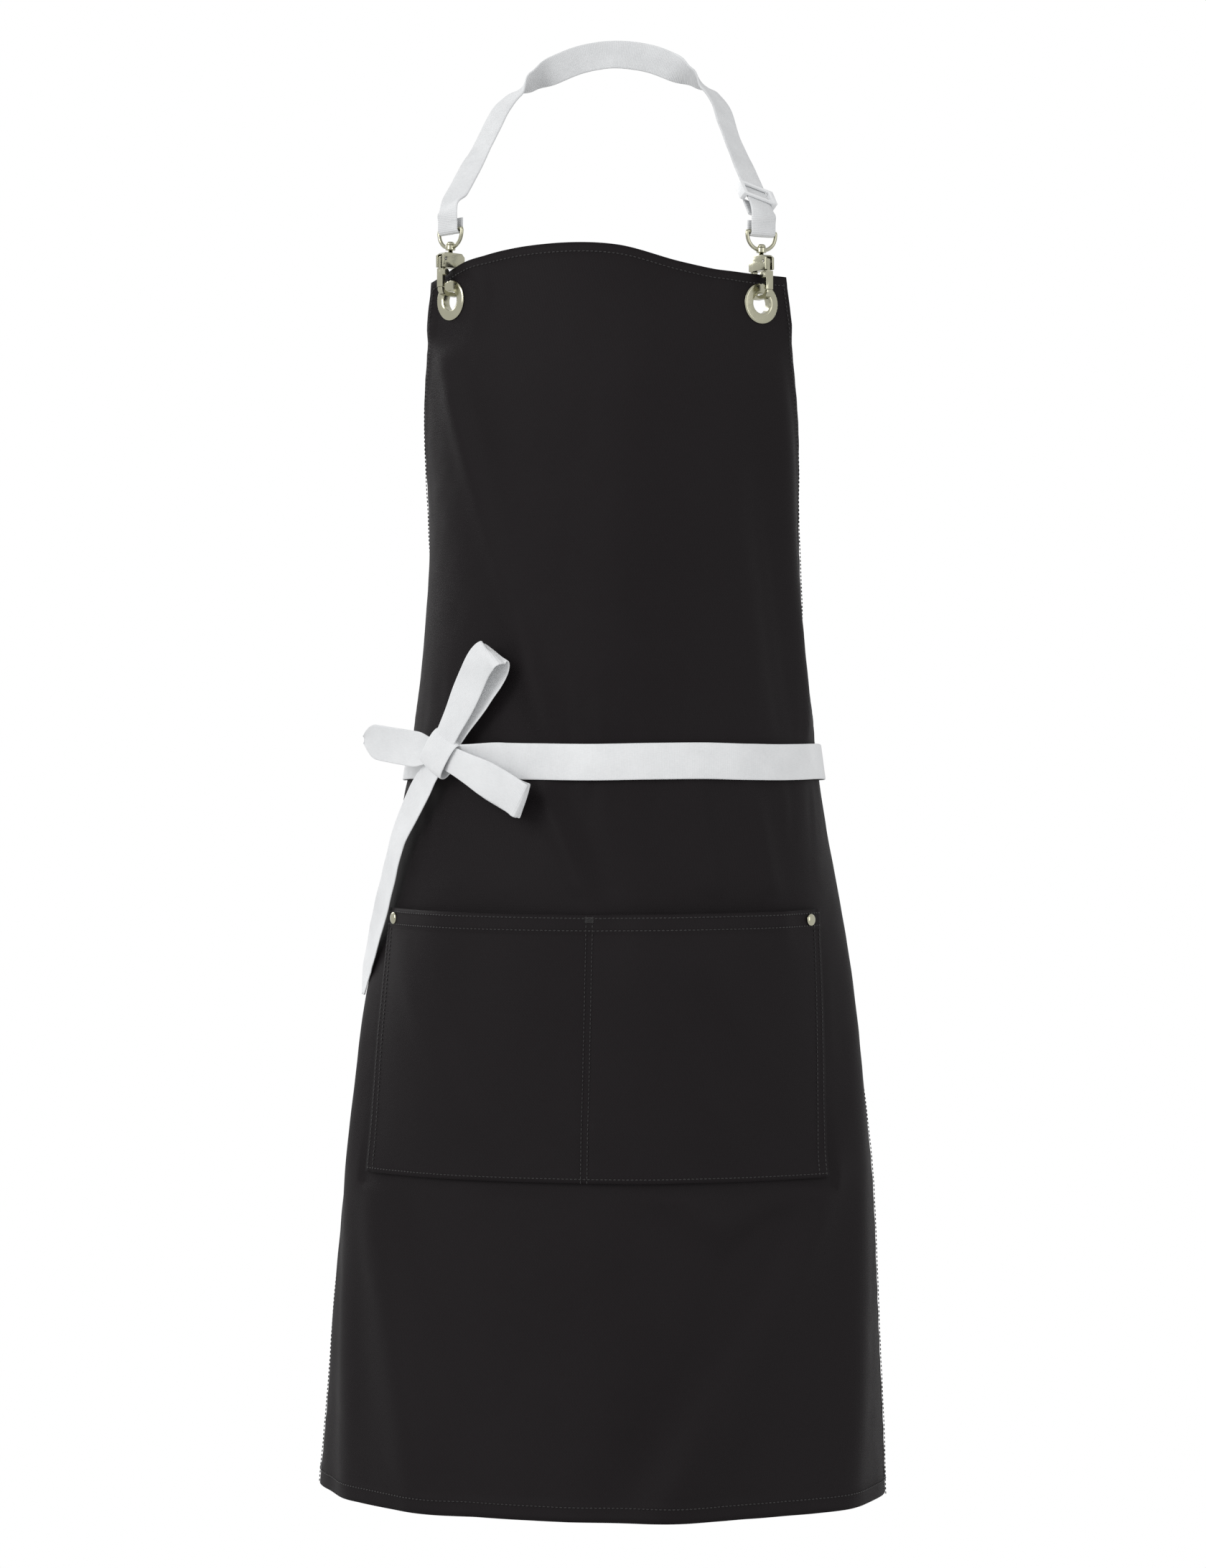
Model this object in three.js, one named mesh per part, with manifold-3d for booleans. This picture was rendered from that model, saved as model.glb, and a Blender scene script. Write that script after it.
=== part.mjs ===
// Bib apron for an artist, as it hangs when worn: a cloth body with a divided front pocket, a webbing
// neck strap with a sliding adjuster, swivel snap hooks clipped into grommets, and waist ties in a bow.
// Millimetres, +Z up, -Y to the front. The origin is the strap's inner face behind the neck.
import * as THREE from 'three';
import { mergeVertices } from 'three/addons/utils/BufferGeometryUtils.js';
import Module from 'manifold-3d';

const wasm = await Module();
wasm.setup();

// ---------------------------------------------------------------- driving dimensions
const GAP = 0.35;              // air left between pieces that touch
const CLOTH = 1.3;             // thickness of the apron's cloth
const HEM_Z = -1037;           // level of the hem
const WAIST_Z = -513;          // level of the waist ties
const BIB_HALF = 133;          // half the bib's width at its top edge
const LEAN = 0.016;            // sideways drift of the cloth per unit of height
const COLUMNS = 29;            // facets across the cloth
const TOP_ROW = 11;            // facet height beside the grommets
const TOP_ROWS = 5;
const BODY_ROWS = 27;

const FACING = 1.0;            // doubled strip behind the bib's top

const GROMMET_IN = 20;         // from the bib's side to a grommet's centre
const GROMMET_DOWN = 20;       // from the bib's top edge to a grommet's centre
const HOLE_R = 7;
const BARREL = 1.2;            // wall of the grommet's barrel
const FLANGE_R = 14;
const FLANGE = 1.0;

const POCKET_TOP = -617;
const POCKET_HEIGHT = 187;
const POCKET_HALF = 178;       // from the middle seam to a side seam, along the cloth
const POCKET_CLOTH = 1.2;
const POCKET_BULGE = 11;       // how far each pocket stands open
const SEAM_IN = 14;            // from the pocket's side to its rivet
const RIVET_R = 4.25;
const RIVET_SHANK = 1.5;

const WEBBING = 20;            // neck strap width
const WEBBING_THICK = 1.6;
const WIRE_R = 1.35;           // D-ring wire
const RING_HALF = WEBBING / 2 + 1.9;  // D-ring, half its width to the wire's middle
const RING_DROP = 12.6;        // from the D-ring's bar to its lowest wire
const BAR_Z = 49.5;            // from a grommet's centre up to the D-ring's bar
const HOOK_TOP = 33;           // from a grommet's centre up to the hook body's top
const POST_R = 1.6;
const POST_SIDE = 0.5;         // the swivel post stands this far in front of the cloth
const GATE_PIN_R = 0.8;
const END_RISE = 8;            // a sewn strap end's height above the D-ring's bar
const FLEX = 5.5;              // free webbing left between a sewn end and the strap

const TIE = 25.4;              // waist tie width
const TIE_THICK = 1.2;
const KNOT_ANGLE = -45;        // where the bow sits, in degrees round the waist from the front

// ---------------------------------------------------------------- materials
const cloth = () => new THREE.MeshStandardMaterial({ color: 0x242326, roughness: 0.85, metalness: 0 });
const tape = () => new THREE.MeshStandardMaterial({ color: 0xdfe0e1, roughness: 0.9, metalness: 0 });
const plastic = () => new THREE.MeshStandardMaterial({ color: 0xe4e5e6, roughness: 0.35, metalness: 0 });
const nickel = () => new THREE.MeshStandardMaterial({ color: 0x9d9c86, roughness: 0.25, metalness: 1 });

const apron = new THREE.Group();
function add(name, geometry, material, parent = apron) {
  const mesh = new THREE.Mesh(geometry, material);
  mesh.name = name;
  parent.add(mesh);
  return mesh;
}

// ---------------------------------------------------------------- small tools
const rad = THREE.MathUtils.degToRad;
const clamp01 = (t) => Math.min(1, Math.max(0, t));
const smooth = (t) => clamp01(t) ** 2 * (3 - 2 * clamp01(t));

// A smooth value through [place, value] pairs, flat past both ends.
function table(pairs) {
  const slope = (k) => {
    const a = pairs[Math.max(0, k - 1)];
    const b = pairs[Math.min(pairs.length - 1, k + 1)];
    return (b[1] - a[1]) / (b[0] - a[0]);
  };
  return (x) => {
    if (x <= pairs[0][0]) return pairs[0][1];
    if (x >= pairs.at(-1)[0]) return pairs.at(-1)[1];
    const k = pairs.findIndex((pair, i) => i < pairs.length - 1 && x <= pairs[i + 1][0]);
    const [x0, y0] = pairs[k];
    const [x1, y1] = pairs[k + 1];
    const h = x1 - x0;
    const t = (x - x0) / h;
    const m0 = slope(k) * h;
    const m1 = slope(k + 1) * h;
    return (2 * t ** 3 - 3 * t ** 2 + 1) * y0 + (t ** 3 - 2 * t ** 2 + t) * m0
      + (-2 * t ** 3 + 3 * t ** 2) * y1 + (t ** 3 - t ** 2) * m1;
  };
}

function fromLists(positions, indices) {
  const geometry = new THREE.BufferGeometry();
  geometry.setAttribute('position', new THREE.Float32BufferAttribute(positions, 3));
  geometry.setIndex(indices);
  geometry.computeVertexNormals();
  return geometry;
}

function solid(geometry) {
  const bare = geometry.clone();
  bare.deleteAttribute('normal');
  bare.deleteAttribute('uv');
  const merged = mergeVertices(bare, 1e-4);
  const vertProperties = new Float32Array(merged.attributes.position.array);
  const triVerts = new Uint32Array(merged.index.array);
  return new wasm.Manifold(new wasm.Mesh({ numProp: 3, vertProperties, triVerts }));
}

function shape(body) {
  const mesh = body.getMesh();
  return fromLists(Array.from(mesh.vertProperties), Array.from(mesh.triVerts));
}

// A closed slab between two grids of points with the same rows and columns.
function slab(front, back) {
  const rows = front.length;
  const columns = front[0].length;
  const positions = [...front.flat(), ...back.flat()].flatMap((p) => [p.x, p.y, p.z]);
  const at = (side, i, j) => side * rows * columns + i * columns + j;
  const indices = [];
  const quad = (a, b, c, d) => indices.push(a, b, c, a, c, d);
  for (let i = 0; i < rows - 1; i += 1) {
    for (let j = 0; j < columns - 1; j += 1) {
      quad(at(0, i, j), at(0, i + 1, j), at(0, i + 1, j + 1), at(0, i, j + 1));
      quad(at(1, i, j), at(1, i, j + 1), at(1, i + 1, j + 1), at(1, i + 1, j));
    }
    quad(at(0, i, 0), at(1, i, 0), at(1, i + 1, 0), at(0, i + 1, 0));
    quad(at(0, i + 1, columns - 1), at(1, i + 1, columns - 1), at(1, i, columns - 1), at(0, i, columns - 1));
  }
  for (let j = 0; j < columns - 1; j += 1) {
    quad(at(0, 0, j + 1), at(1, 0, j + 1), at(1, 0, j), at(0, 0, j));
    quad(at(0, rows - 1, j), at(1, rows - 1, j), at(1, rows - 1, j + 1), at(0, rows - 1, j + 1));
  }
  return fromLists(positions, indices);
}

// A flat tape along points, whose face looks along the normal given at each point.
function strip(points, normals, width, thick) {
  const front = [];
  const back = [];
  points.forEach((point, k) => {
    const ahead = points[Math.min(points.length - 1, k + 1)];
    const behind = points[Math.max(0, k - 1)];
    const along = ahead.clone().sub(behind).normalize();
    const across = along.clone().cross(normals[k]).normalize();
    const face = across.clone().cross(along).normalize();
    const side = (w, n) => point.clone().addScaledVector(across, w).addScaledVector(face, n);
    front.push([side(-width / 2, thick / 2), side(width / 2, thick / 2)]);
    back.push([side(-width / 2, -thick / 2), side(width / 2, -thick / 2)]);
  });
  const body = solid(slab(front, back));
  return body.volume() > 0 ? shape(body) : shape(solid(slab(back, front)));
}

// ---------------------------------------------------------------- the surface the cloth lies on
const semiWidth = table([[-1038, 205], [-805, 191], [-617, 164], [-513, 148], [-430, 138], [-350, 133],
  [-257, 137], [-154, 142]]);
const semiDepth = table([[-1038, 145], [-805, 138], [-617, 125], [-513, 115], [-430, 108], [-257, 96],
  [-154, 90]]);
const frontLine = table([[-1038, -140], [-805, -134], [-617, -125], [-513, -118], [-430, -121],
  [-257, -134], [-154, -125]]);
const halfWidth = table([[-540, 276], [-500, 268], [-430, 226], [-350, 188], [-257, 159], [-190, 140],
  [-154, 133]]);
const topEdge = table([[-133, -174.5], [-90, -160.5], [-40, -154], [10, -155.5], [55, -167.5],
  [90, -173.5], [133, -174.5]]);

// The angle round the body at a distance along the cloth from its middle line.
function angleAt(distance, z) {
  const steps = 32;
  const a = semiWidth(z);
  const b = semiDepth(z);
  const speed = (angle) => Math.hypot(a * Math.cos(angle), b * Math.sin(angle));
  let angle = 0;
  for (let k = 0; k < steps; k += 1) {
    const middle = angle + distance / steps / 2 / speed(angle);
    angle += distance / steps / speed(middle);
  }
  return angle;
}

// A point round the body, pushed out from it by a distance.
function around(angle, z, out = 0) {
  const a = semiWidth(z);
  const b = semiDepth(z);
  const normal = new THREE.Vector3(Math.sin(angle) / a, -Math.cos(angle) / b, 0).normalize();
  return new THREE.Vector3(a * Math.sin(angle) + LEAN * (z - WAIST_Z),
    frontLine(z) + b * (1 - Math.cos(angle)), z).addScaledVector(normal, out);
}

function outward(angle, z) {
  return around(angle, z, 1).sub(around(angle, z, 0)).normalize();
}

// The same with the surface's slope up and down taken in.
function squareTo(angle, z, reach = TIE / 2) {
  const round = around(angle + 0.01, z).sub(around(angle - 0.01, z));
  const upwards = around(angle, z + reach).sub(around(angle, z - reach));
  return round.cross(upwards).normalize();
}

// The cloth's frame at a spot: where it is, which way it faces, and which way is across it.
function spot(distance, z) {
  const angle = angleAt(distance, z);
  const origin = around(angle, z);
  const normal = outward(angle, z);
  const up = new THREE.Vector3(0, 0, 1);
  return { origin, normal, up, across: up.clone().cross(normal).negate() };
}

const SIDES = [{ name: 'left', sign: -1 }, { name: 'right', sign: 1 }];
const grommets = SIDES.map(({ name, sign }) => {
  const distance = sign * (halfWidth(topEdge(sign * BIB_HALF)) - GROMMET_IN);
  return { name, sign, ...spot(distance, topEdge(distance) - GROMMET_DOWN) };
});
const rivets = SIDES.map(({ name, sign }) => (
  { name, sign, ...spot(sign * (POCKET_HALF - SEAM_IN), POCKET_TOP - RIVET_R - 3) }));

// The cloth is pressed flat under each grommet.
const PRESSED = grommets.map((g) => ({ ...g, inner: FLANGE_R + TOP_ROW, outer: 3 * FLANGE_R }));

function onCloth(distance, z, out) {
  const point = around(angleAt(distance, z), z, out);
  PRESSED.forEach(({ origin, normal, inner, outer }) => {
    const reach = point.distanceTo(origin);
    const weight = 1 - smooth((reach - inner) / (outer - inner));
    const height = point.clone().sub(origin).dot(normal) - out;
    point.addScaledVector(normal, -height * weight);
  });
  return point;
}

function clothGrid(rows, out) {
  const grid = [];
  for (let i = 0; i <= rows; i += 1) {
    const row = [];
    for (let j = 0; j <= COLUMNS; j += 1) {
      const u = (2 * j) / COLUMNS - 1;
      const top = topEdge(u * BIB_HALF);
      const drop = TOP_ROW * Math.min(i, TOP_ROWS);
      const rest = (top - TOP_ROW * TOP_ROWS - HEM_Z) * Math.max(0, i - TOP_ROWS) / BODY_ROWS;
      const z = top - drop - rest;
      row.push(onCloth(u * halfWidth(z), z, out));
    }
    grid.push(row);
  }
  return grid;
}

// A round cutter that looks along a spot's normal.
function drill(at, radius, reach = 12, segments = 20) {
  const geometry = new THREE.CylinderGeometry(radius, radius, 2 * reach, segments);
  const turn = new THREE.Quaternion().setFromUnitVectors(new THREE.Vector3(0, 1, 0), at.normal);
  geometry.applyQuaternion(turn);
  geometry.translate(at.origin.x, at.origin.y, at.origin.z);
  return solid(geometry);
}

// ---------------------------------------------------------------- cloth body, facing and pocket
const BARREL_R = HOLE_R + BARREL;
let panel = solid(slab(clothGrid(TOP_ROWS + BODY_ROWS, 0), clothGrid(TOP_ROWS + BODY_ROWS, -CLOTH)));
const facingOut = -CLOTH - GAP;
let facing = solid(slab(clothGrid(TOP_ROWS - 1, facingOut), clothGrid(TOP_ROWS - 1, facingOut - FACING)));
grommets.forEach((g) => {
  panel = panel.subtract(drill(g, BARREL_R + GAP));
  facing = facing.subtract(drill(g, BARREL_R + GAP));
});

// How far the pocket stands off: nothing at its seams, most at each half's open middle.
function pocketStand(distance, z) {
  const half = clamp01(Math.abs(distance) / POCKET_HALF);
  const down = clamp01((POCKET_TOP - z) / POCKET_HEIGHT);
  return POCKET_BULGE * Math.sin(Math.PI * half) ** 1.5 * Math.cos((Math.PI / 2) * down) ** 0.8;
}

const POCKET_ROWS = 8;
const POCKET_COLUMNS = 24;
function pocketGrid(out) {
  const grid = [];
  for (let i = 0; i <= POCKET_ROWS; i += 1) {
    const row = [];
    const z = POCKET_TOP - (POCKET_HEIGHT * i) / POCKET_ROWS;
    for (let j = 0; j <= POCKET_COLUMNS; j += 1) {
      const distance = POCKET_HALF * ((2 * j) / POCKET_COLUMNS - 1);
      row.push(around(angleAt(distance, z), z, out + pocketStand(distance, z)));
    }
    grid.push(row);
  }
  return grid;
}
const POCKET_OUT = 1.1;        // the pocket's inner face, clear of the cloth's own facets
let pocket = solid(slab(pocketGrid(POCKET_OUT + POCKET_CLOTH), pocketGrid(POCKET_OUT)));
rivets.forEach((r) => {
  panel = panel.subtract(drill(r, RIVET_SHANK + GAP, 14, 12));
  pocket = pocket.subtract(drill(r, RIVET_SHANK + GAP, 14, 12));
});
add('apron_panel', shape(panel), cloth());
add('top_facing', shape(facing), cloth());
add('pocket_panel', shape(pocket), cloth());

// ---------------------------------------------------------------- pieces turned about a spot's normal
function turned(profile, segments) {
  const points = profile.map(([r, y]) => new THREE.Vector2(r, y));
  const geometry = new THREE.LatheGeometry(points, segments);
  const body = solid(geometry);
  if (body.volume() > 0) return shape(body);
  return shape(solid(new THREE.LatheGeometry(points.reverse(), segments)));
}

function place(mesh, at) {
  mesh.quaternion.setFromUnitVectors(new THREE.Vector3(0, 1, 0), at.normal);
  mesh.position.copy(at.origin);
}

const washerTop = facingOut - FACING - GAP;
const WASHER = 0.8;
const lipTop = washerTop - WASHER - GAP;
grommets.forEach((g) => {
  const ring = turned([[HOLE_R, lipTop - WASHER], [HOLE_R + 3, lipTop - WASHER], [HOLE_R + 3, lipTop],
    [BARREL_R, lipTop], [BARREL_R, GAP], [FLANGE_R, GAP], [FLANGE_R, GAP + 0.4],
    [FLANGE_R - 1, GAP + FLANGE], [HOLE_R + 1.5, GAP + FLANGE + 0.2], [HOLE_R, GAP + FLANGE - 0.4],
    [HOLE_R, lipTop - WASHER]], 20);
  place(add(`grommet_${g.name}`, ring, nickel()), g);
  const washer = turned([[BARREL_R + GAP, washerTop - WASHER], [FLANGE_R - 1, washerTop - WASHER],
    [FLANGE_R - 1, washerTop], [BARREL_R + GAP, washerTop], [BARREL_R + GAP, washerTop - WASHER]], 20);
  place(add(`grommet_washer_${g.name}`, washer, nickel()), g);
});

const RIVET_STAND = 1.6;       // the pocket's outer face bows this far under the cap
rivets.forEach((r) => {
  const half = pocketStand(POCKET_HALF - SEAM_IN, r.origin.z);
  const under = POCKET_OUT + POCKET_CLOTH + half + RIVET_STAND;
  const end = -CLOTH - RIVET_STAND;
  const cap = turned([[0, end], [RIVET_SHANK, end], [RIVET_SHANK, under], [RIVET_R, under],
    [RIVET_R * 0.93, under + 0.8], [RIVET_R * 0.6, under + 1.7], [0, under + 2.1]], 14);
  place(add(`pocket_rivet_cap_${r.name}`, cap, nickel()), r);
  const plate = turned([[0, end - GAP - 1], [RIVET_R, end - GAP - 1], [RIVET_R, end - GAP],
    [0, end - GAP]], 14);
  place(add(`pocket_rivet_back_${r.name}`, plate, nickel()), r);
});

// ---------------------------------------------------------------- snap hook and D-ring, in a clasp frame
// A clasp's own frame: X across the cloth, Y inwards, Z up, from its grommet's centre.
function extruded(points, from, to) {
  const outline = new THREE.Shape(points.map(([n, z]) => new THREE.Vector2(-n, z)));
  const geometry = new THREE.ExtrudeGeometry(outline, { depth: to - from, bevelEnabled: false });
  geometry.translate(0, 0, from);
  // The outline is drawn as (front, up) and is pulled across the cloth.
  geometry.applyMatrix4(new THREE.Matrix4().set(0, 0, 1, 0, 1, 0, 0, 0, 0, 1, 0, 0, 0, 0, 0, 1));
  return solid(geometry);
}

function acrossPin(radius, front, z, from, to, segments = 12) {
  const geometry = new THREE.CylinderGeometry(radius, radius, to - from, segments);
  geometry.rotateZ(Math.PI / 2);
  geometry.translate((from + to) / 2, -front, z);
  return solid(geometry);
}

function uprightPin(radius, z0, z1, segments = 14) {
  const geometry = new THREE.CylinderGeometry(radius, radius, z1 - z0, segments);
  geometry.rotateX(Math.PI / 2);
  geometry.translate(0, -POST_SIDE, (z0 + z1) / 2);
  return solid(geometry);
}

const ARM_HALF = 2.2;          // half the claw's width across the cloth
const BLOCK_HALF = 3.8;
const BLOCK_LOW = 22.6;
const GATE_IN = 8;             // the gate's inner face, in front of the cloth
const GATE_OUT = 10.6;
const PIN_FRONT = 8.1;
const PIN_Z = 28.4;
const SLOT_HALF = 2.2;
const SLOT_BACK = 4.1;         // the slot's floor, in front of the cloth
const TIP_Z = 8.6;
const GATE_HALF = 2.9;
const KNOB_R = 2.3;

function hookBody() {
  const claw = extruded([[-9.6, BLOCK_LOW + 2], [-9.6, 7], [-8.4, 4], [-5, 2.7], [5, 2.7], [9, 4],
    [GATE_OUT, 6.6], [GATE_OUT, TIP_Z], [GATE_IN, TIP_Z], [7.2, 6.6], [4.5, 5.4], [-4.5, 5.4],
    [-6.6, 6.8], [-7, 9], [-7, BLOCK_LOW + 2]], -ARM_HALF, ARM_HALF);
  const block = extruded([[-9.6, BLOCK_LOW], [GATE_OUT, BLOCK_LOW], [GATE_OUT, 31], [7.5, HOOK_TOP],
    [-7, HOOK_TOP], [-9.6, 30.5]], -BLOCK_HALF, BLOCK_HALF);
  const slot = extruded([[SLOT_BACK, BLOCK_LOW - 1], [GATE_OUT + 1, BLOCK_LOW - 1],
    [GATE_OUT + 1, 31.6], [SLOT_BACK, 31.6]], -SLOT_HALF, SLOT_HALF);
  const pin = acrossPin(GATE_PIN_R + 0.3, PIN_FRONT, PIN_Z, -BLOCK_HALF - 1, BLOCK_HALF + 1);
  const post = uprightPin(POST_R + 0.3, HOOK_TOP - 5, HOOK_TOP + 1);
  return claw.add(block).subtract(slot).subtract(pin).subtract(post);
}

function gateLever(knobSide) {
  const upper = extruded([[6, BLOCK_LOW - 1.5], [GATE_OUT - 0.3, BLOCK_LOW - 1.5],
    [GATE_OUT - 0.3, 29.8], [9.2, 30.8], [6.8, 30.8], [6, 29.8]], -SLOT_HALF + 0.3, SLOT_HALF - 1.6);
  const lower = extruded([[GATE_IN, TIP_Z + GAP], [GATE_OUT, TIP_Z + GAP],
    [GATE_OUT, BLOCK_LOW - 0.8], [6, BLOCK_LOW - 0.8], [GATE_IN, 17]], -GATE_HALF, GATE_HALF);
  const reach = GATE_HALF + 2.6;
  const knob = acrossPin(KNOB_R, GATE_IN + 0.8, 19, Math.min(0, knobSide * reach),
    Math.max(0, knobSide * reach), 14);
  const hole = acrossPin(GATE_PIN_R + 0.3, PIN_FRONT, PIN_Z, -BLOCK_HALF, BLOCK_HALF);
  return upper.add(lower).add(knob).subtract(hole);
}

// A closed ring of round wire along a flat loop of [across, up] points.
function wireLoop(points, radius, sides = 8) {
  const positions = [];
  const indices = [];
  const count = points.length;
  points.forEach(([x, z], k) => {
    const [x0, z0] = points[(k + count - 1) % count];
    const [x1, z1] = points[(k + 1) % count];
    const into = new THREE.Vector2(x - x0, z - z0).normalize();
    const on = new THREE.Vector2(x1 - x, z1 - z).normalize();
    const mitre = new THREE.Vector2(-(into.y + on.y), into.x + on.x).normalize();
    const stretch = 1 / Math.max(0.6, mitre.dot(new THREE.Vector2(-on.y, on.x)));
    for (let s = 0; s < sides; s += 1) {
      const turn = (2 * Math.PI * (s + 0.5)) / sides;
      const side = radius * Math.cos(turn) * stretch;
      positions.push(x + mitre.x * side, radius * Math.sin(turn), z + mitre.y * side);
      const a = k * sides + s;
      const b = k * sides + ((s + 1) % sides);
      const c = ((k + 1) % count) * sides + s;
      const d = ((k + 1) % count) * sides + ((s + 1) % sides);
      indices.push(a, c, b, b, c, d);
    }
  });
  const body = solid(fromLists(positions, indices));
  if (body.volume() > 0) return body;
  return solid(fromLists(positions, indices.reverse()));
}

function dRing() {
  const points = [];
  const steps = 16;
  for (let k = 0; k <= steps; k += 1) {
    const turn = (Math.PI * k) / steps;
    const fall = Math.sin(turn) ** 0.8;
    points.push([-RING_HALF * Math.cos(turn), BAR_Z - RING_DROP * fall]);
  }
  const bottom = BAR_Z - RING_DROP;
  const boss = uprightPin(POST_R + 1.9, bottom - 1.7, bottom + 1.7);
  const wire = wireLoop(points, WIRE_R).translate([0, -POST_SIDE, 0]);
  return wire.add(boss).subtract(uprightPin(POST_R + 0.3, bottom - 4, bottom + 4));
}

function swivelPost() {
  const seat = BAR_Z - RING_DROP + 1.7 + GAP;
  return turned([[0, HOOK_TOP - 4.6], [POST_R, HOOK_TOP - 4.6], [POST_R, seat], [3, seat],
    [2.9, seat + 0.8], [2, seat + 1.9], [0, seat + 2.4]], 12);
}

// A small coil round the gate's pin, beside the gate.
function gateSpring() {
  const turns = 2;
  const wire = 0.2;
  class Coil extends THREE.Curve {
    getPoint(t) {
      const turn = 2 * Math.PI * turns * t;
      const r = GATE_PIN_R + 0.25 + wire;
      return new THREE.Vector3(SLOT_HALF - 1.25 + 0.9 * t, -PIN_FRONT + r * Math.cos(turn),
        PIN_Z + r * Math.sin(turn));
    }
  }
  const section = new THREE.Shape();
  section.absarc(0, 0, wire, 0, 2 * Math.PI, false);
  return new THREE.ExtrudeGeometry(section,
    { steps: 10 * turns, extrudePath: new Coil(), curveSegments: 3, bevelEnabled: false });
}

// The turned end of the webbing round the D-ring's bar.
function webbingEnd() {
  const inner = WIRE_R + 0.45;
  const outer = inner + WEBBING_THICK;
  const points = [];
  const steps = 8;
  const rise = BAR_Z + END_RISE;
  points.push([outer, rise], [inner, rise]);
  for (let k = 0; k <= steps; k += 1) {
    const turn = (Math.PI * k) / steps;
    points.push([inner * Math.cos(turn), BAR_Z - inner * Math.sin(turn)]);
  }
  points.push([-inner, rise], [-outer, rise]);
  for (let k = steps; k >= 0; k -= 1) {
    const turn = (Math.PI * k) / steps;
    points.push([outer * Math.cos(turn), BAR_Z - outer * Math.sin(turn)]);
  }
  return extruded(points, -WEBBING / 2, WEBBING / 2).translate([0, -POST_SIDE, 0]);
}

const clasps = grommets.map((g) => {
  const clasp = new THREE.Group();
  clasp.position.copy(g.origin);
  clasp.rotation.z = Math.atan2(g.normal.x, -g.normal.y);
  apron.add(clasp);
  const inner = -g.sign;
  add(`hook_body_${g.name}`, shape(hookBody()), nickel(), clasp);
  add(`gate_lever_${g.name}`, shape(gateLever(inner)), nickel(), clasp);
  add(`gate_pin_${g.name}`, shape(acrossPin(GATE_PIN_R, PIN_FRONT, PIN_Z, -BLOCK_HALF, BLOCK_HALF)),
    nickel(), clasp);
  add(`gate_spring_${g.name}`, gateSpring(), nickel(), clasp);
  const post = add(`swivel_post_${g.name}`, swivelPost(), nickel(), clasp);
  post.rotation.x = Math.PI / 2;
  post.position.y = -POST_SIDE;
  add(`d_ring_${g.name}`, shape(dRing()), nickel(), clasp);
  add(`strap_end_${g.name}`, shape(webbingEnd()), tape(), clasp);
  clasp.updateMatrixWorld();
  return { ...g, clasp };
});

// ---------------------------------------------------------------- neck strap
const layer = WIRE_R + 0.45 + WEBBING_THICK / 2;     // a layer's middle, from the bar's middle
const strapFoot = BAR_Z + END_RISE + FLEX;
// One side of the loop, from behind the neck down: [across, back, up, turn of the outer face].
const LOOP = [[0, 0.8, 0, 0], [22, 0, -2.8, 8], [41, -3, -10, 20], [58, -8, -19.5, 42],
  [71, -15, -31, 66], [80, -24, -44, 92], [87, -37, -64, 112]];
const SLIDE_RUN = 52;          // straight webbing above a sewn end

function strapSide({ sign, clasp, normal }) {
  const foot = clasp.localToWorld(new THREE.Vector3(0, -POST_SIDE - layer, strapFoot));
  const nearest = new THREE.Vector3(sign * LOOP.at(-1)[0], LOOP.at(-1)[1], LOOP.at(-1)[2]);
  const up = nearest.clone().sub(foot).normalize();
  const points = [foot];
  const normals = [normal.clone()];
  const straight = Math.min(SLIDE_RUN, nearest.distanceTo(foot) - 12);
  for (let k = 1; k <= 3; k += 1) {
    points.push(foot.clone().addScaledVector(up, (straight * k) / 3));
    normals.push(normal.clone());
  }
  LOOP.slice(1).reverse().forEach(([x, y, z, turn]) => {
    points.push(new THREE.Vector3(sign * x, y, z));
    normals.push(new THREE.Vector3(sign * Math.sin(rad(turn)), Math.cos(rad(turn)), 0.15));
  });
  return { points, normals, foot, up, normal };
}

const sides = clasps.map(strapSide);
const nape = { points: [new THREE.Vector3(0, 0.8, 0)], normals: [new THREE.Vector3(0, 1, 0)] };
const route = [...sides[0].points, ...nape.points, ...[...sides[1].points].reverse()];
const faces = [...sides[0].normals, ...nape.normals, ...[...sides[1].normals].reverse()];
add('neck_strap', strip(route, faces, WEBBING, WEBBING_THICK), tape());

// The adjuster sits on the right run, and the webbing's return layer is wrapped on its bar.
const run = sides[1];
const adjuster = new THREE.Group();
const ADJUST_UP = 20;          // from the strap's foot up to the adjuster's bar
const acrossRun = run.up.clone().cross(run.normal).normalize();
const faceRun = acrossRun.clone().cross(run.up).normalize();
adjuster.applyMatrix4(new THREE.Matrix4().makeBasis(acrossRun, run.up, faceRun)
  .setPosition(run.foot.clone().addScaledVector(run.up, ADJUST_UP)));
apron.add(adjuster);

const box = (x0, x1, y0, y1, z0, z1) => {
  const geometry = new THREE.BoxGeometry(x1 - x0, y1 - y0, z1 - z0);
  geometry.translate((x0 + x1) / 2, (y0 + y1) / 2, (z0 + z1) / 2);
  return solid(geometry);
};
const GLIDE_TALL = 7.5;
const RAIL = 2.4;
const SLOT = WEBBING / 2 + 0.8;
const GLIDE_HALF = SLOT + 3.7;
const front = WEBBING_THICK / 2 + GAP;
const GLIDE_THICK = 2;
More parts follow.
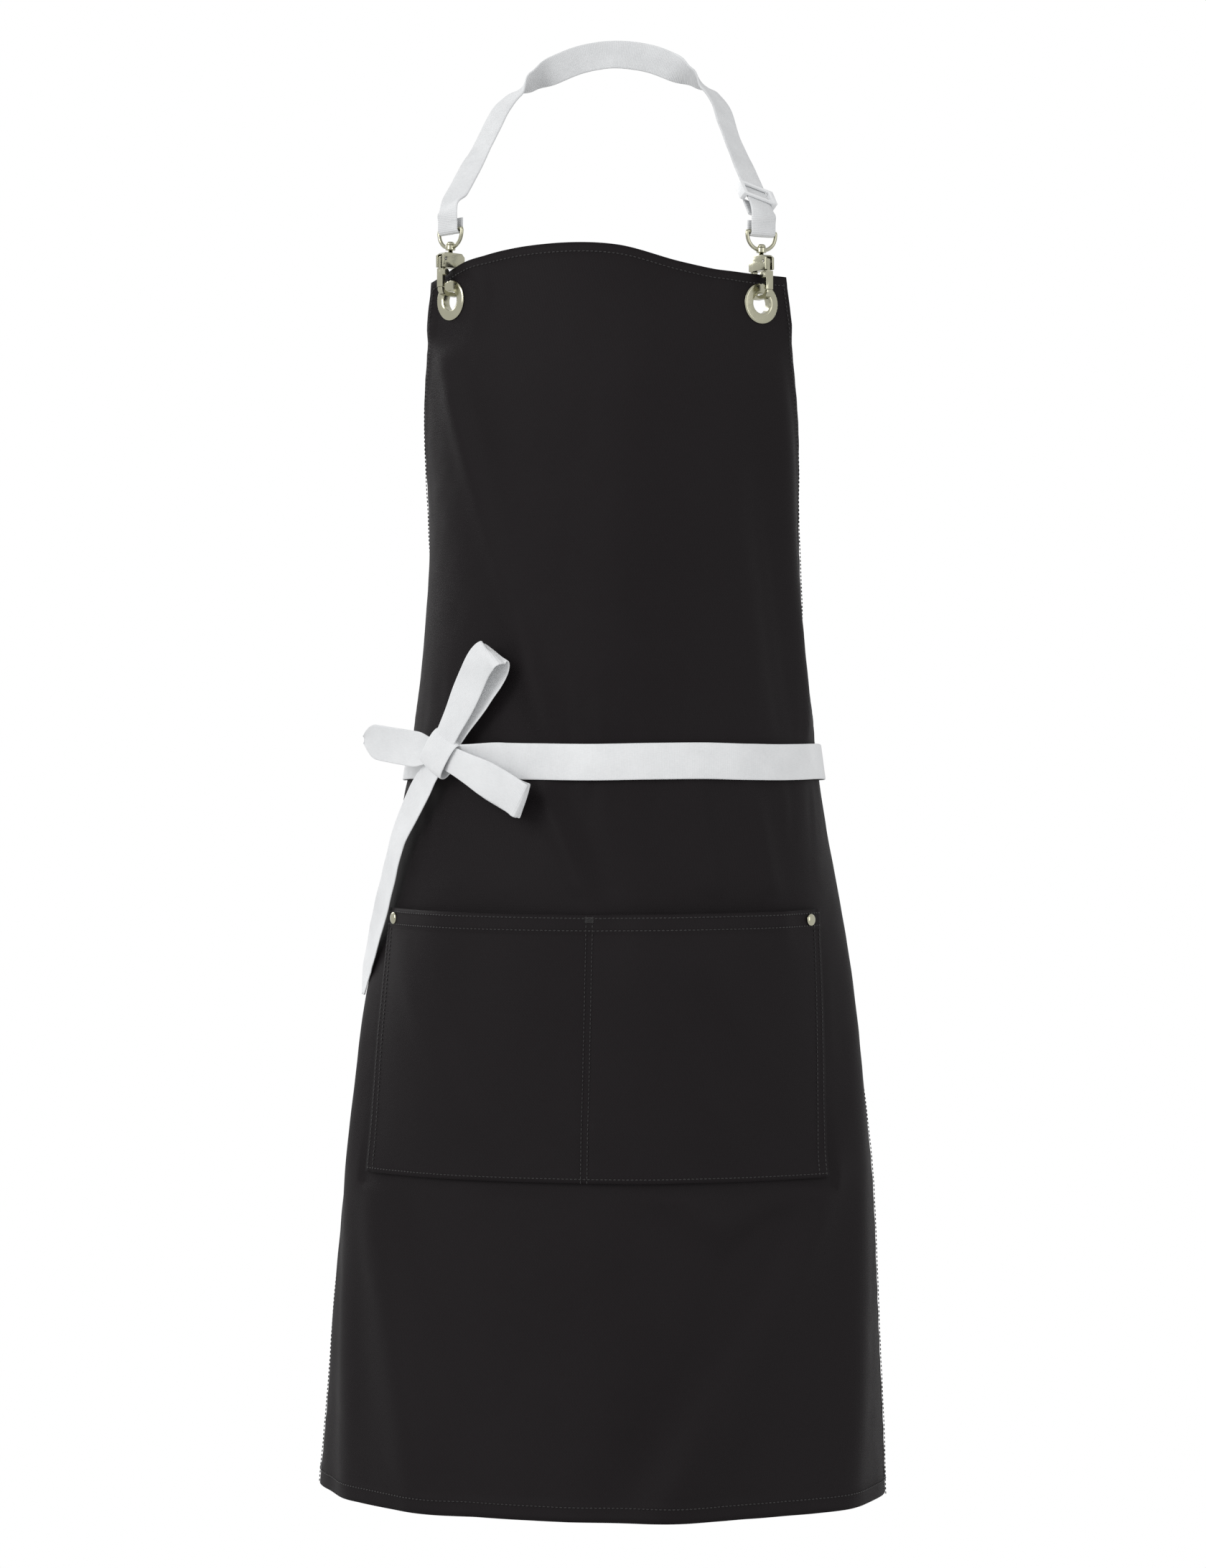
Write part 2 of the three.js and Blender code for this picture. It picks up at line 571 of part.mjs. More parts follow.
// Two end rails pass in front of the strap, the middle bar behind it, joined at both sides.
const glide = box(-GLIDE_HALF, -SLOT, -GLIDE_TALL, GLIDE_TALL, -front - GLIDE_THICK, front + GLIDE_THICK)
  .add(box(SLOT, GLIDE_HALF, -GLIDE_TALL, GLIDE_TALL, -front - GLIDE_THICK, front + GLIDE_THICK))
  .add(box(-SLOT, SLOT, GLIDE_TALL - RAIL, GLIDE_TALL, front, front + GLIDE_THICK))
  .add(box(-SLOT, SLOT, -GLIDE_TALL, -GLIDE_TALL + RAIL, front, front + GLIDE_THICK))
  .add(box(-SLOT, SLOT, -RAIL / 2, RAIL / 2, -front - GLIDE_THICK, -front));
add('tri_glide', shape(glide), plastic(), adjuster);
const returnOut = -2 * layer;
const returnTop = -RAIL - 2;
const returnEnd = 2.5 - ADJUST_UP;
add('strap_return', shape(box(-WEBBING / 2, WEBBING / 2, returnEnd, returnTop,
  returnOut - WEBBING_THICK / 2 + 0.5, returnOut + WEBBING_THICK / 2 + 0.5)), tape(), adjuster);

// ---------------------------------------------------------------- waist ties and bow
const SEWN = 108;              // angle where each tie is sewn on, past the body's side
const CLEAR = 145;             // angle past which the two ties run one above the other
const TIE_IN = 1.1;            // a tie's middle, off the cloth where it is sewn
const TIE_OUT = 3.2;           // and where it passes over the other tie
const BACK_SHIFT = TIE / 2 + 1.5;
const STEP = 6;

// A tie from its sewn end round the back to the bow; the sign is the side that it is sewn to.
function tie(sign, stop, frontOut) {
  const points = [];
  const normals = [];
  const last = 360 + sign * stop;
  const count = Math.round((last - SEWN) / STEP);
  for (let k = 0; k <= count; k += 1) {
    const angle = SEWN + ((last - SEWN) * k) / count;
    const apart = smooth((angle - SEWN) / (CLEAR - SEWN)) * smooth((360 - SEWN - angle) / (CLEAR - SEWN));
    const z = WAIST_Z + sign * BACK_SHIFT * apart;
    const over = smooth((angle - CLEAR) / (360 - 2 * CLEAR));
    const settle = smooth((angle - 260) / 25);
    const out = TIE_IN + (TIE_OUT - TIE_IN) * over + (frontOut - TIE_OUT) * settle;
    points.push(around(rad(sign * angle), z, out));
    normals.push(squareTo(rad(sign * angle), z));
  }
  return strip(points, normals, TIE, TIE_THICK);
}
const KNOT_HALF = 9;           // half the knot's width, in degrees round the waist
add('tie_right_band', tie(1, KNOT_ANGLE - KNOT_HALF, 2.6), tape());
add('tie_left_band', tie(-1, KNOT_ANGLE + KNOT_HALF, 1.9), tape());

// The bow lies in a plane that faces out at the knot, clear of the cloth.
const bow = new THREE.Group();
const BOW_OUT = 12;
const BOW_TURN = -32;
const knotAt = around(rad(KNOT_ANGLE), WAIST_Z + 6, BOW_OUT);
bow.position.copy(knotAt);
bow.rotation.z = rad(BOW_TURN);
apron.add(bow);
const KNOT_R = TIE / 2 - 1.7;
const KNOT_THICK = 9;
const knot = new THREE.SphereGeometry(1, 14, 9);
knot.scale(KNOT_R, KNOT_THICK / 2, KNOT_R * 1.35);
add('bow_knot', knot, tape(), bow).rotation.y = rad(28);

// A loop of tie: out from the knot on one layer, round, and back on the other.
function bowLoop(length, open) {
  const points = [];
  const normals = [];
  const steps = 12;
  const start = KNOT_R * 1.35 + 1;
  for (let k = 0; k <= steps; k += 1) {
    const t = (2 * k) / steps - 1;
    const reach = length - (length - start) * t * t;
    const swell = open * Math.sin(Math.PI * Math.min(1, (1 - Math.abs(t)) * 1.15)) ** 0.7;
    const depth = Math.sign(t) * (swell + 0.8 * Math.abs(t));
    points.push(new THREE.Vector3(reach, depth, 0));
    normals.push(new THREE.Vector3(t === 0 ? 1 : 0.2, Math.sign(t), 0));
  }
  points[steps / 2].x = length + 1;
  return strip(points, normals, TIE, TIE_THICK);
}
add('bow_loop_upper', bowLoop(85, 5), tape(), bow).rotation.y = rad(-55);
add('bow_loop_lower', bowLoop(83, 3), tape(), bow).rotation.y = rad(24);

function tail(points) {
  const list = points.map(([x, y, z]) => new THREE.Vector3(x, y, z));
  return strip(list, list.map(() => new THREE.Vector3(0, -1, 0)), TIE, TIE_THICK);
}
const tailStart = KNOT_R * 1.35 + 1.5;
add('tie_tail_short', tail([[-tailStart, 0, 2], [-32, -1, 4], [-52, -2, 7], [-73, -1, 10]]), tape(), bow);

// The long tail hangs over the hip, just clear of the cloth.
const TAIL = [[-12, -17], [-24, -36], [-36, -58], [-43, -80], [-50, -104], [-58, -128], [-66, -152],
  [-70, -174]];
const TAIL_OUT = 6.5;
const longTail = TAIL.map(([x, z], k) => {
  const level = knotAt.z + z;
  const out = TAIL_OUT + (BOW_OUT - TAIL_OUT) * (1 - k / (TAIL.length - 1)) ** 2;
  const sine = (knotAt.x + x - LEAN * (level - WAIST_Z)) / (semiWidth(level) + out);
  const angle = Math.asin(Math.max(-0.985, sine));
  return { point: around(angle, level, out), normal: squareTo(angle, level) };
});
add('tie_tail_long', strip(longTail.map((t) => t.point), longTail.map((t) => t.normal), TIE, TIE_THICK),
  tape());

export default apron;
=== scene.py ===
# %% [markdown]
# # An artist's bib apron
# One cut of dark twill with a wide front pocket hangs from a white neck webbing by two snap hooks, and
# white tapes go round the wearer and meet in a bow. Every piece could be placed by eye, but the packed
# model already holds all the places and joints, so it gives the frame, and each piece below stands for
# plain solids there. Lengths are metres, +Z is up and the wearer faces -Y.

# %% load the frame
import math
import bmesh
import bpy
import numpy as np
from mathutils import Matrix, Vector, noise


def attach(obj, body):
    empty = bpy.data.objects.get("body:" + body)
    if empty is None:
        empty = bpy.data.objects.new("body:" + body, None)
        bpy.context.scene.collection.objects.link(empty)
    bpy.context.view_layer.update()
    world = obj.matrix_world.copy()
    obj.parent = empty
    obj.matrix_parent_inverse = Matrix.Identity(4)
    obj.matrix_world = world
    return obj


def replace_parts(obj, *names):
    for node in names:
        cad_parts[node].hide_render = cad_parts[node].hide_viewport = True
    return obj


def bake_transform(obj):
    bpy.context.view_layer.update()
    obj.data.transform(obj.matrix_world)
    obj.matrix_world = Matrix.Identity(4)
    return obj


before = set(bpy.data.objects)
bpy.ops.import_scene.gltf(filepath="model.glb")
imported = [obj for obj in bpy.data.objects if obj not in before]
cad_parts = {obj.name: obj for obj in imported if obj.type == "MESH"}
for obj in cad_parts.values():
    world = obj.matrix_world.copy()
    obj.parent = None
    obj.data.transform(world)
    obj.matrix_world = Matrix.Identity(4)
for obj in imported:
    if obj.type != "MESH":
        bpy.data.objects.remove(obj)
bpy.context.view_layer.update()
MM = 0.001

# %% [markdown]
# ## Camera
# A short lens close by would make the bib look small beside the hem. So the camera stands well off with
# a long lens, at the height of the apron's middle and a little to the right of the front, and the
# apron's sides stay straight.

# %% camera
LENS = 86.5
DISTANCE = 2.6
AZIMUTH = math.radians(7)
TARGET = Vector((0.0079, -0.130, -0.5287))
camera = bpy.data.objects.new("camera", bpy.data.cameras.new("camera"))
camera.data.lens = LENS
camera.data.clip_end = 60
camera.location = TARGET + DISTANCE * Vector((math.sin(AZIMUTH), -math.cos(AZIMUTH), 0))
camera.rotation_euler = (math.pi / 2, 0, AZIMUTH)
bpy.context.scene.collection.objects.link(camera)
bpy.context.scene.camera = camera
print("camera at", tuple(round(v, 3) for v in camera.location))

# %% [markdown]
# ## Meshes from points
# Cloth, tape and turned metal are all surfaces that run two ways, so rows of points describe them. They
# could be sculpted or simulated, but a grid worked out here gives every point its place and its UV at
# once, and comes out the same each time. The last helper works modifiers out into a plain mesh,
# because the export takes nothing else.

# %% meshes from grids of points
def mesh_object(name, points, faces, uv=None, smooth=True):
    mesh = bpy.data.meshes.new(name)
    mesh.from_pydata([tuple(p) for p in points], [], [tuple(f) for f in faces])
    mesh.polygons.foreach_set("use_smooth", [smooth] * len(mesh.polygons))
    if uv is not None:
        layer = mesh.uv_layers.new(name="cloth")
        corner = np.zeros(len(mesh.loops), int)
        mesh.loops.foreach_get("vertex_index", corner)
        layer.data.foreach_set("uv", np.asarray(uv, float)[corner].ravel())
    obj = bpy.data.objects.new(name, mesh)
    bpy.context.scene.collection.objects.link(obj)
    return obj


def grid_faces(rows, columns, keep=None):
    faces = []
    for i in range(rows - 1):
        for j in range(columns - 1):
            if keep is None or keep(i, j):
                a = i * columns + j
                faces.append((a, a + columns, a + columns + 1, a + 1))
    return faces


def plain(obj):
    """The object with its modifiers worked out, as one plain mesh."""
    bpy.context.view_layer.update()
    graph = bpy.context.evaluated_depsgraph_get()
    mesh = bpy.data.meshes.new_from_object(obj.evaluated_get(graph))
    obj.modifiers.clear()
    if obj.type == "MESH":
        obj.data = mesh
        return obj
    name = obj.name
    bpy.data.objects.remove(obj)
    done = bpy.data.objects.new(name, mesh)
    bpy.context.scene.collection.objects.link(done)
    return done

# %% [markdown]
# ## Light
# Dark cloth shows its folds only where a broad light grazes it, and a small lamp would leave hard spots
# on the nickel. So three big soft lights give the shape, one of them from behind. The world is full
# white where the camera sees it and softer as a light: that fills the shadows without bleaching the
# tape.

# %% soft lights
def softbox(name, place, aim, size, power):
    lamp = bpy.data.lights.new(name, "AREA")
    lamp.shape = "RECTANGLE"
    lamp.size, lamp.size_y = size
    lamp.energy = power
    obj = bpy.data.objects.new(name, lamp)
    obj.location = place
    obj.rotation_euler = (Vector(aim) - Vector(place)).to_track_quat("-Z", "Y").to_euler()
    bpy.context.scene.collection.objects.link(obj)


MIDDLE = (0, -0.05, -0.5)
SEEN_WHITE, LIT_WHITE = 1.0, 0.74
softbox("key", (-2.2, -2.6, 1.0), MIDDLE, (1.6, 2.4), 50)
softbox("fill", (2.6, -2.2, 0.2), MIDDLE, (1.6, 2.4), 18)
softbox("back_left", (-2.0, 1.6, 1.2), MIDDLE, (1.2, 2.0), 26)
world = bpy.data.worlds.new("studio")
world.use_nodes = True
sky = world.node_tree.nodes["Background"]
sky.inputs["Color"].default_value = (1, 1, 1, 1)
seen = world.node_tree.nodes.new("ShaderNodeLightPath")
level = world.node_tree.nodes.new("ShaderNodeMapRange")
level.inputs["To Min"].default_value = LIT_WHITE
level.inputs["To Max"].default_value = SEEN_WHITE
world.node_tree.links.new(seen.outputs["Is Camera Ray"], level.inputs["Value"])
world.node_tree.links.new(level.outputs["Result"], sky.inputs["Strength"])
bpy.context.scene.world = world
bpy.context.scene.view_settings.view_transform = "Standard"

# %% [markdown]
# ## Finishes
# Every finish is a Principled shader with a few noise and wave textures. Painted pictures would do as
# well, but textures that are worked out stay sharp close up and need no file. This small kit adds a
# node with its values in one line, so that each finish below reads as a list of what it is made of.

# %% a small kit for node materials
def material(name, color, roughness, metal=0.0, sheen=0.0, specular=0.5):
    mat = bpy.data.materials.new(name)
    mat.use_nodes = True
    shader = mat.node_tree.nodes["Principled BSDF"]
    shader.inputs["Base Color"].default_value = (*color, 1)
    shader.inputs["Roughness"].default_value = roughness
    shader.inputs["Metallic"].default_value = metal
    shader.inputs["Specular IOR Level"].default_value = specular
    shader.inputs["Sheen Weight"].default_value = sheen
    shader.inputs["Sheen Roughness"].default_value = 0.4
    return mat, mat.node_tree, shader


def node(tree, kind, values=None, **settings):
    made = tree.nodes.new(kind)
    for key, value in settings.items():
        setattr(made, key, value)
    for key, value in (values or {}).items():
        made.inputs[key].default_value = value
    return made


def coords(tree, output, scale, turn=0.0):
    place = node(tree, "ShaderNodeTexCoord")
    mapping = node(tree, "ShaderNodeMapping")
    mapping.inputs["Scale"].default_value = scale
    mapping.inputs["Rotation"].default_value = (0, 0, turn)
    tree.links.new(place.outputs[output], mapping.inputs["Vector"])
    return mapping.outputs["Vector"]


def ramp(tree, value, low, high, dark, light):
    made = node(tree, "ShaderNodeValToRGB")
    made.color_ramp.elements[0].position = low
    made.color_ramp.elements[1].position = high
    made.color_ramp.elements[0].color = (*dark, 1)
    made.color_ramp.elements[1].color = (*light, 1)
    tree.links.new(value, made.inputs["Fac"])
    return made.outputs["Color"]


def bump(tree, shader, height, distance, strength=1.0, onto=None):
    made = node(tree, "ShaderNodeBump", {"Distance": distance, "Strength": strength})
    tree.links.new(height, made.inputs["Height"])
    if onto is not None:
        tree.links.new(onto, made.inputs["Normal"])
    tree.links.new(made.outputs["Normal"], shader.inputs["Normal"])
    return made.outputs["Normal"]


def math_node(tree, operation, a, b):
    made = node(tree, "ShaderNodeMath", operation=operation)
    for slot, value in enumerate((a, b)):
        if isinstance(value, (int, float)):
            made.inputs[slot].default_value = value
        else:
            tree.links.new(value, made.inputs[slot])
    return made.outputs[0]

# %% [markdown]
# ## Twill, webbing, tape and thread
# Woven cloth has a direction: a fine diagonal rib on the twill body, and crosswise ribs on the white
# tapes. Real threads would take millions of faces, so they are waves along the cloth's own UV map,
# which is in metres, and a bump gives them depth. Wear and lint are low, broad noise.

# %% woven finishes
def woven(name, dark, light, roughness, pitch, turn, sheen, depth, cloudy, specular=0.3):
    """Threads `pitch` metres apart, turned in the cloth, over a broad soft variation of tone."""
    mat, tree, shader = material(name, light, roughness, sheen=sheen, specular=specular)
    rib = node(tree, "ShaderNodeTexWave", {"Scale": 0.314 / pitch, "Distortion": 0.6, "Detail": 2.0,
               "Detail Scale": 1.5}, wave_type="BANDS", bands_direction="X")
    tree.links.new(coords(tree, "UV", (1, 1, 1), turn), rib.inputs["Vector"])
    cross = node(tree, "ShaderNodeTexWave", {"Scale": 0.314 / pitch, "Distortion": 0.8, "Detail": 2.0},
                 wave_type="BANDS", bands_direction="Y")
    tree.links.new(coords(tree, "UV", (1, 1, 1), 0.0), cross.inputs["Vector"])
    clouds = node(tree, "ShaderNodeTexNoise", {"Scale": cloudy, "Detail": 6.0, "Roughness": 0.6})
    tree.links.new(coords(tree, "Object", (1, 1, 1)), clouds.inputs["Vector"])
    slubs = node(tree, "ShaderNodeTexNoise", {"Scale": 1.0, "Detail": 3.0, "Roughness": 0.7})
    tree.links.new(coords(tree, "UV", (2600, 240, 1)), slubs.inputs["Vector"])
    tone = math_node(tree, "ADD", math_node(tree, "MULTIPLY", clouds.outputs["Fac"], 0.6),
                     math_node(tree, "MULTIPLY", slubs.outputs["Fac"], 0.4))
    tree.links.new(ramp(tree, tone, 0.32, 0.68, dark, light), shader.inputs["Base Color"])
    rough = node(tree, "ShaderNodeMapRange", {"From Min": 0.3, "From Max": 0.7, "To Min": roughness - 0.08,
                 "To Max": min(1.0, roughness + 0.08)})
    tree.links.new(clouds.outputs["Fac"], rough.inputs["Value"])
    tree.links.new(rough.outputs["Result"], shader.inputs["Roughness"])
    crossed = math_node(tree, "MULTIPLY", cross.outputs["Fac"], 0.5)
    weave = math_node(tree, "ADD", rib.outputs["Fac"], crossed)
    weave = math_node(tree, "ADD", weave, math_node(tree, "MULTIPLY", slubs.outputs["Fac"], 0.7))
    bump(tree, shader, weave, depth, 0.8)
    return mat


TWILL = woven("dark_twill", (0.0080, 0.0062, 0.0070), (0.0126, 0.0106, 0.0116), 0.60, 0.0009,
              math.radians(63), 0.0, 0.00008, 7.0, specular=0.10)
WEBBING = woven("white_webbing", (0.60, 0.61, 0.62), (0.78, 0.79, 0.80), 0.82, 0.0012, math.radians(90),
                0.15, 0.00018, 30.0)
TAPE = woven("white_tape", (0.66, 0.67, 0.68), (0.82, 0.83, 0.84), 0.80, 0.0009, math.radians(90),
             0.15, 0.00010, 22.0)


def thread(name, color):
    mat, tree, shader = material(name, color, 0.6, sheen=0.2)
    twist = node(tree, "ShaderNodeTexNoise", {"Scale": 1800.0, "Detail": 2.0})
    tree.links.new(coords(tree, "Object", (1, 1, 1)), twist.inputs["Vector"])
    tree.links.new(ramp(tree, twist.outputs["Fac"], 0.3, 0.7, [0.6 * c for c in color], color),
                   shader.inputs["Base Color"])
    bump(tree, shader, twist.outputs["Fac"], 0.00005)
    return mat


DARK_THREAD = thread("dark_thread", (0.013, 0.011, 0.012))
print("woven", [m.name for m in (TWILL, WEBBING, TAPE, DARK_THREAD)])

# %% [markdown]
# ## Nickel and plastic
# Hooks, rings and eyelets have a warm nickel plate, and the slider is moulded in white plastic. An even
# roughness looks like glass, so fine noise gives the metal faint marks of handling, and a fine grain
# breaks up the gloss of the plastic.

# %% nickel and plastic
def nickel(name, color, roughness):
    mat, tree, shader = material(name, color, roughness, metal=1.0)
    marks = node(tree, "ShaderNodeTexNoise", {"Scale": 420.0, "Detail": 5.0, "Roughness": 0.6})
    tree.links.new(coords(tree, "Object", (1, 1, 1)), marks.inputs["Vector"])
    broad = node(tree, "ShaderNodeTexNoise", {"Scale": 90.0, "Detail": 2.0})
    tree.links.new(coords(tree, "Object", (1, 1, 1)), broad.inputs["Vector"])
    rough = node(tree, "ShaderNodeMapRange", {"From Min": 0.35, "From Max": 0.7, "To Min": roughness,
                 "To Max": roughness + 0.08})
    tree.links.new(marks.outputs["Fac"], rough.inputs["Value"])
    tree.links.new(rough.outputs["Result"], shader.inputs["Roughness"])
    tree.links.new(ramp(tree, broad.outputs["Fac"], 0.35, 0.7, [0.92 * c for c in color], color),
                   shader.inputs["Base Color"])
    bump(tree, shader, broad.outputs["Fac"], 0.00003, 0.2)
    return mat


NICKEL = nickel("warm_nickel", (0.50, 0.49, 0.37), 0.14)
DARK_NICKEL = nickel("steel_wire", (0.42, 0.41, 0.39), 0.28)
PLASTIC, plastic_tree, plastic_shader = material("white_plastic", (0.80, 0.81, 0.82), 0.34)
grain = node(plastic_tree, "ShaderNodeTexNoise", {"Scale": 900.0, "Detail": 3.0})
plastic_tree.links.new(coords(plastic_tree, "Object", (1, 1, 1)), grain.inputs["Vector"])
plastic_tone = ramp(plastic_tree, grain.outputs["Fac"], 0.2, 0.8, (0.74, 0.75, 0.76), (0.82, 0.83, 0.84))
plastic_tree.links.new(plastic_tone, plastic_shader.inputs["Base Color"])
bump(plastic_tree, plastic_shader, grain.outputs["Fac"], 0.00004)
print("hard finishes", [m.name for m in (NICKEL, DARK_NICKEL, PLASTIC)])

# %% [markdown]
# ## The surface that the cloth lies on
# Each level of the wearer is an ellipse, and the cloth is a flat cut laid round it: a place on it is a
# distance from its middle line and a height. A cloth simulation would drape it too, but not onto the
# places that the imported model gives, so the tables repeat the model's, in millimetres.

# %% levels of the body
def table(pairs):
    """A smooth value through (place, value) pairs, flat past both ends."""
    xs, ys = (np.array(v, float) for v in zip(*pairs))
    slopes = np.array([(ys[min(k + 1, len(ys) - 1)] - ys[max(k - 1, 0)])
                       / (xs[min(k + 1, len(xs) - 1)] - xs[max(k - 1, 0)]) for k in range(len(xs))])

    def value(x):
        x = min(max(x, xs[0]), xs[-1])
        k = min(int(np.searchsorted(xs, x, side="right")) - 1, len(xs) - 2)
        h = xs[k + 1] - xs[k]
        t = (x - xs[k]) / h
        return ((2 * t**3 - 3 * t**2 + 1) * ys[k] + (t**3 - 2 * t**2 + t) * h * slopes[k]
                + (-2 * t**3 + 3 * t**2) * ys[k + 1] + (t**3 - t**2) * h * slopes[k + 1])
    return value


semi_width = table([(-1038, 205), (-805, 191), (-617, 164), (-513, 148), (-430, 138), (-350, 133),
                    (-257, 137), (-154, 142)])
semi_depth = table([(-1038, 145), (-805, 138), (-617, 125), (-513, 115), (-430, 108), (-257, 96),
                    (-154, 90)])
front_line = table([(-1038, -140), (-805, -134), (-617, -125), (-513, -118), (-430, -121),
                    (-257, -134), (-154, -125)])
half_width = table([(-540, 276), (-500, 268), (-430, 226), (-350, 188), (-257, 159), (-190, 140),
                    (-154, 133)])
top_edge = table([(-133, -174.5), (-90, -160.5), (-40, -154), (10, -155.5), (55, -167.5), (90, -173.5),
                  (133, -174.5)])
HEM_Z = -1037.0
WAIST_Z = -513.0
LEAN = 0.016  # the whole apron leans this much to one side for each millimetre down
CLOTH = 1.3
BIB_HALF, WAIST_HALF, LENGTH = 133.0, 276.0, 883.0  # of the flat cut
HOLE_CUT = 10.5  # the cloth is left out this far from each grommet's centre
print("half width at the waist", round(float(half_width(WAIST_Z)), 1))

# %% a place on the body
def smooth(t):
    t = min(1.0, max(0.0, t))
    return t * t * (3 - 2 * t)


def angle_at(distance, z):
    """The angle round a level of the body at a distance along it, stepped off from the front."""
    a, b = semi_width(z), semi_depth(z)
    angle = 0.0
    steps = 24
    for _ in range(steps):
        middle = angle + distance / steps / 2 / math.hypot(a * math.cos(angle), b * math.sin(angle))
        angle += distance / steps / math.hypot(a * math.cos(middle), b * math.sin(middle))
    return angle


def normal_at(angle, z):
    return Vector((math.sin(angle) / semi_width(z), -math.cos(angle) / semi_depth(z), 0)).normalized()


def around(angle, z, out=0.0):
    a, b = semi_width(z), semi_depth(z)
    across = a * math.sin(angle) + LEAN * (z - WAIST_Z)
    place = Vector((across, front_line(z) + b * (1 - math.cos(angle)), z))
    return place + normal_at(angle, z) * out


def square_to(angle, z, reach=12.0):
    """The way the surface faces, taken over a short reach of it."""
    across = around(angle + 0.01, z) - around(angle - 0.01, z)
    upwards = around(angle, z + reach) - around(angle, z - reach)
    return across.cross(upwards).normalized()


def spot(distance, z):
    angle = angle_at(distance, z)
    return {"origin": around(angle, z), "normal": normal_at(angle, z), "distance": distance, "z": z}

# %% grommets and rivets
SIDES = (("left", -1), ("right", 1))
GROMMET_IN, GROMMET_DOWN, RIVET_DOWN = 20, 20, 7.25
grommets = {}
for side, sign in SIDES:
    reach = sign * (half_width(top_edge(sign * BIB_HALF)) - GROMMET_IN)
    grommets[side] = spot(reach, top_edge(reach) - GROMMET_DOWN)
POCKET_TOP, POCKET_HEIGHT, POCKET_HALF, SEAM_IN = -617.0, 187.0, 178.0, 14.0
rivets = {side: spot(sign * (POCKET_HALF - SEAM_IN), POCKET_TOP - RIVET_DOWN) for side, sign in SIDES}

# %% [markdown]
# ## Folds
# The cloth is stiff and nearly flat, so its folds are few and low. They could be sculpted, but a list
# is easier to read and change: each fold is a ridge along a straight line in the flat cut, with its own
# height and width. Soft flutes grow towards the hem, small gathers stand above and below the tie, and a
# little noise keeps any stretch from being perfectly even.

# %% the height of the cloth off the body
FOLDS = [  # from (across, z) to (across, z), height, half width
    ((-122, -235), (-30, -500), 3.2, 11), ((-100, -240), (-60, -470), -2.2, 16),
    ((138, -245), (182, -490), 3.0, 13), ((118, -300), (150, -500), -2.4, 14),
    ((40, -190), (20, -420), 1.6, 26), ((-40, -180), (-10, -400), -1.4, 30),
    ((-36, -530), (6, -622), 3.4, 9), ((-20, -528), (22, -640), -2.0, 12),
    ((70, -528), (86, -606), 2.2, 8), ((112, -530), (140, -640), 2.4, 10),
    ((-4, -762), (92, -836), 3.0, 14), ((92, -836), (186, -800), 2.6, 13),
    ((186, -800), (64, -1030), 4.2, 20), ((150, -820), (20, -1034), -3.4, 22),
    ((-176, -810), (-112, -1030), 4.6, 24), ((-140, -830), (-70, -1034), -3.6, 26),
    ((-214, -640), (-196, -1030), 4.0, 20), ((224, -640), (206, -1030), 3.6, 20),
    ((20, -640), (96, -770), 1.8, 12), ((66, -630), (150, -760), 1.6, 12),
    ((-150, -650), (-70, -780), 1.7, 13)]
FOLD_GAIN, UNDER_POCKET, DEEPEST = 1.35, 0.55, -2.2


def fold_height(distance, z):
    total = 0.0
    for (s0, z0), (s1, z1), height, width in FOLDS:
        ds, dz = s1 - s0, z1 - z0
        length = math.hypot(ds, dz)
        along = ((distance - s0) * ds + (z - z0) * dz) / length**2
        aside = ((distance - s0) * dz - (z - z0) * ds) / length
        if -0.3 < along < 1.3 and abs(aside) < 4 * width:
            ends = smooth((along + 0.25) / 0.45) * smooth((1.25 - along) / 0.45)
            total += FOLD_GAIN * height * ends * math.exp(-(aside / width)**2)
    return total


def relief(distance, z):
    """How far the cloth stands off the body, in millimetres."""
    low = smooth((-620 - z) / 400)
    flute = 2.6 * low * math.sin(distance / 27 + 1.4 * noise.noise(Vector((distance / 90, z / 260, 0.3))))
    near = math.exp(-(((z - WAIST_Z) / 46)**2))
    gather = 1.3 * near * noise.noise(Vector((distance / 7.5, z / 70, 2.1)))
    tuck = -1.6 * math.exp(-(((z - WAIST_Z) / 15)**2))
    broad = 1.1 * noise.noise(Vector((distance / 60, z / 80, 7.7)))
    fine = 0.28 * noise.noise(Vector((distance / 13, z / 17, 4.2)))
    total = fold_height(distance, z) + flute + gather + tuck + broad + fine
    calm = smooth((top_edge(distance) - z - 4) / 60)
    low_edge = POCKET_TOP - POCKET_HEIGHT
    behind_pocket = low_edge - 8 <= z <= POCKET_TOP + 12 and abs(distance) <= POCKET_HALF + 8
    pocket = UNDER_POCKET if behind_pocket else 1.0
    band = 1 - 0.75 * math.exp(-(((z - WAIST_Z) / 16)**2))
    for rivet in rivets.values():
        calm *= smooth((math.hypot(distance - rivet["distance"], z - rivet["z"]) - 5) / 14)
    return max(DEEPEST, total) * calm * pocket * band


def pressed(point, out):
    """The cloth is held flat under each grommet's flange."""
    for g in grommets.values():
        reach = (point - g["origin"]).length
        weight = 1 - smooth((reach - 25) / 17)
        if weight > 0:
            point = point - g["normal"] * (((point - g["origin"]).dot(g["normal"]) - out) * weight)
    return point


def on_cloth(distance, z, out=0.0):
    lift = out + relief(distance, z)
    return pressed(around(angle_at(distance, z), z, lift), out)


print("folds", len(FOLDS), "lift", {z: round(float(relief(0, z)), 2) for z in (-300, -513, -900)})

# %% [markdown]
# ## The apron's body
# One cut of twill, hemmed all round. An even grid would lose the hems, so this one is closer there, and
# the turned edge stands half a millimetre over the single cloth. The holes for the grommets are left
# out of the grid, and Solidify gives the cloth its thickness afterwards.

# %% hems and rows
SIDE_HEM, TOP_HEM, LOW_HEM, HEM_STEP = 9.0, 8.0, 12.0, 0.55


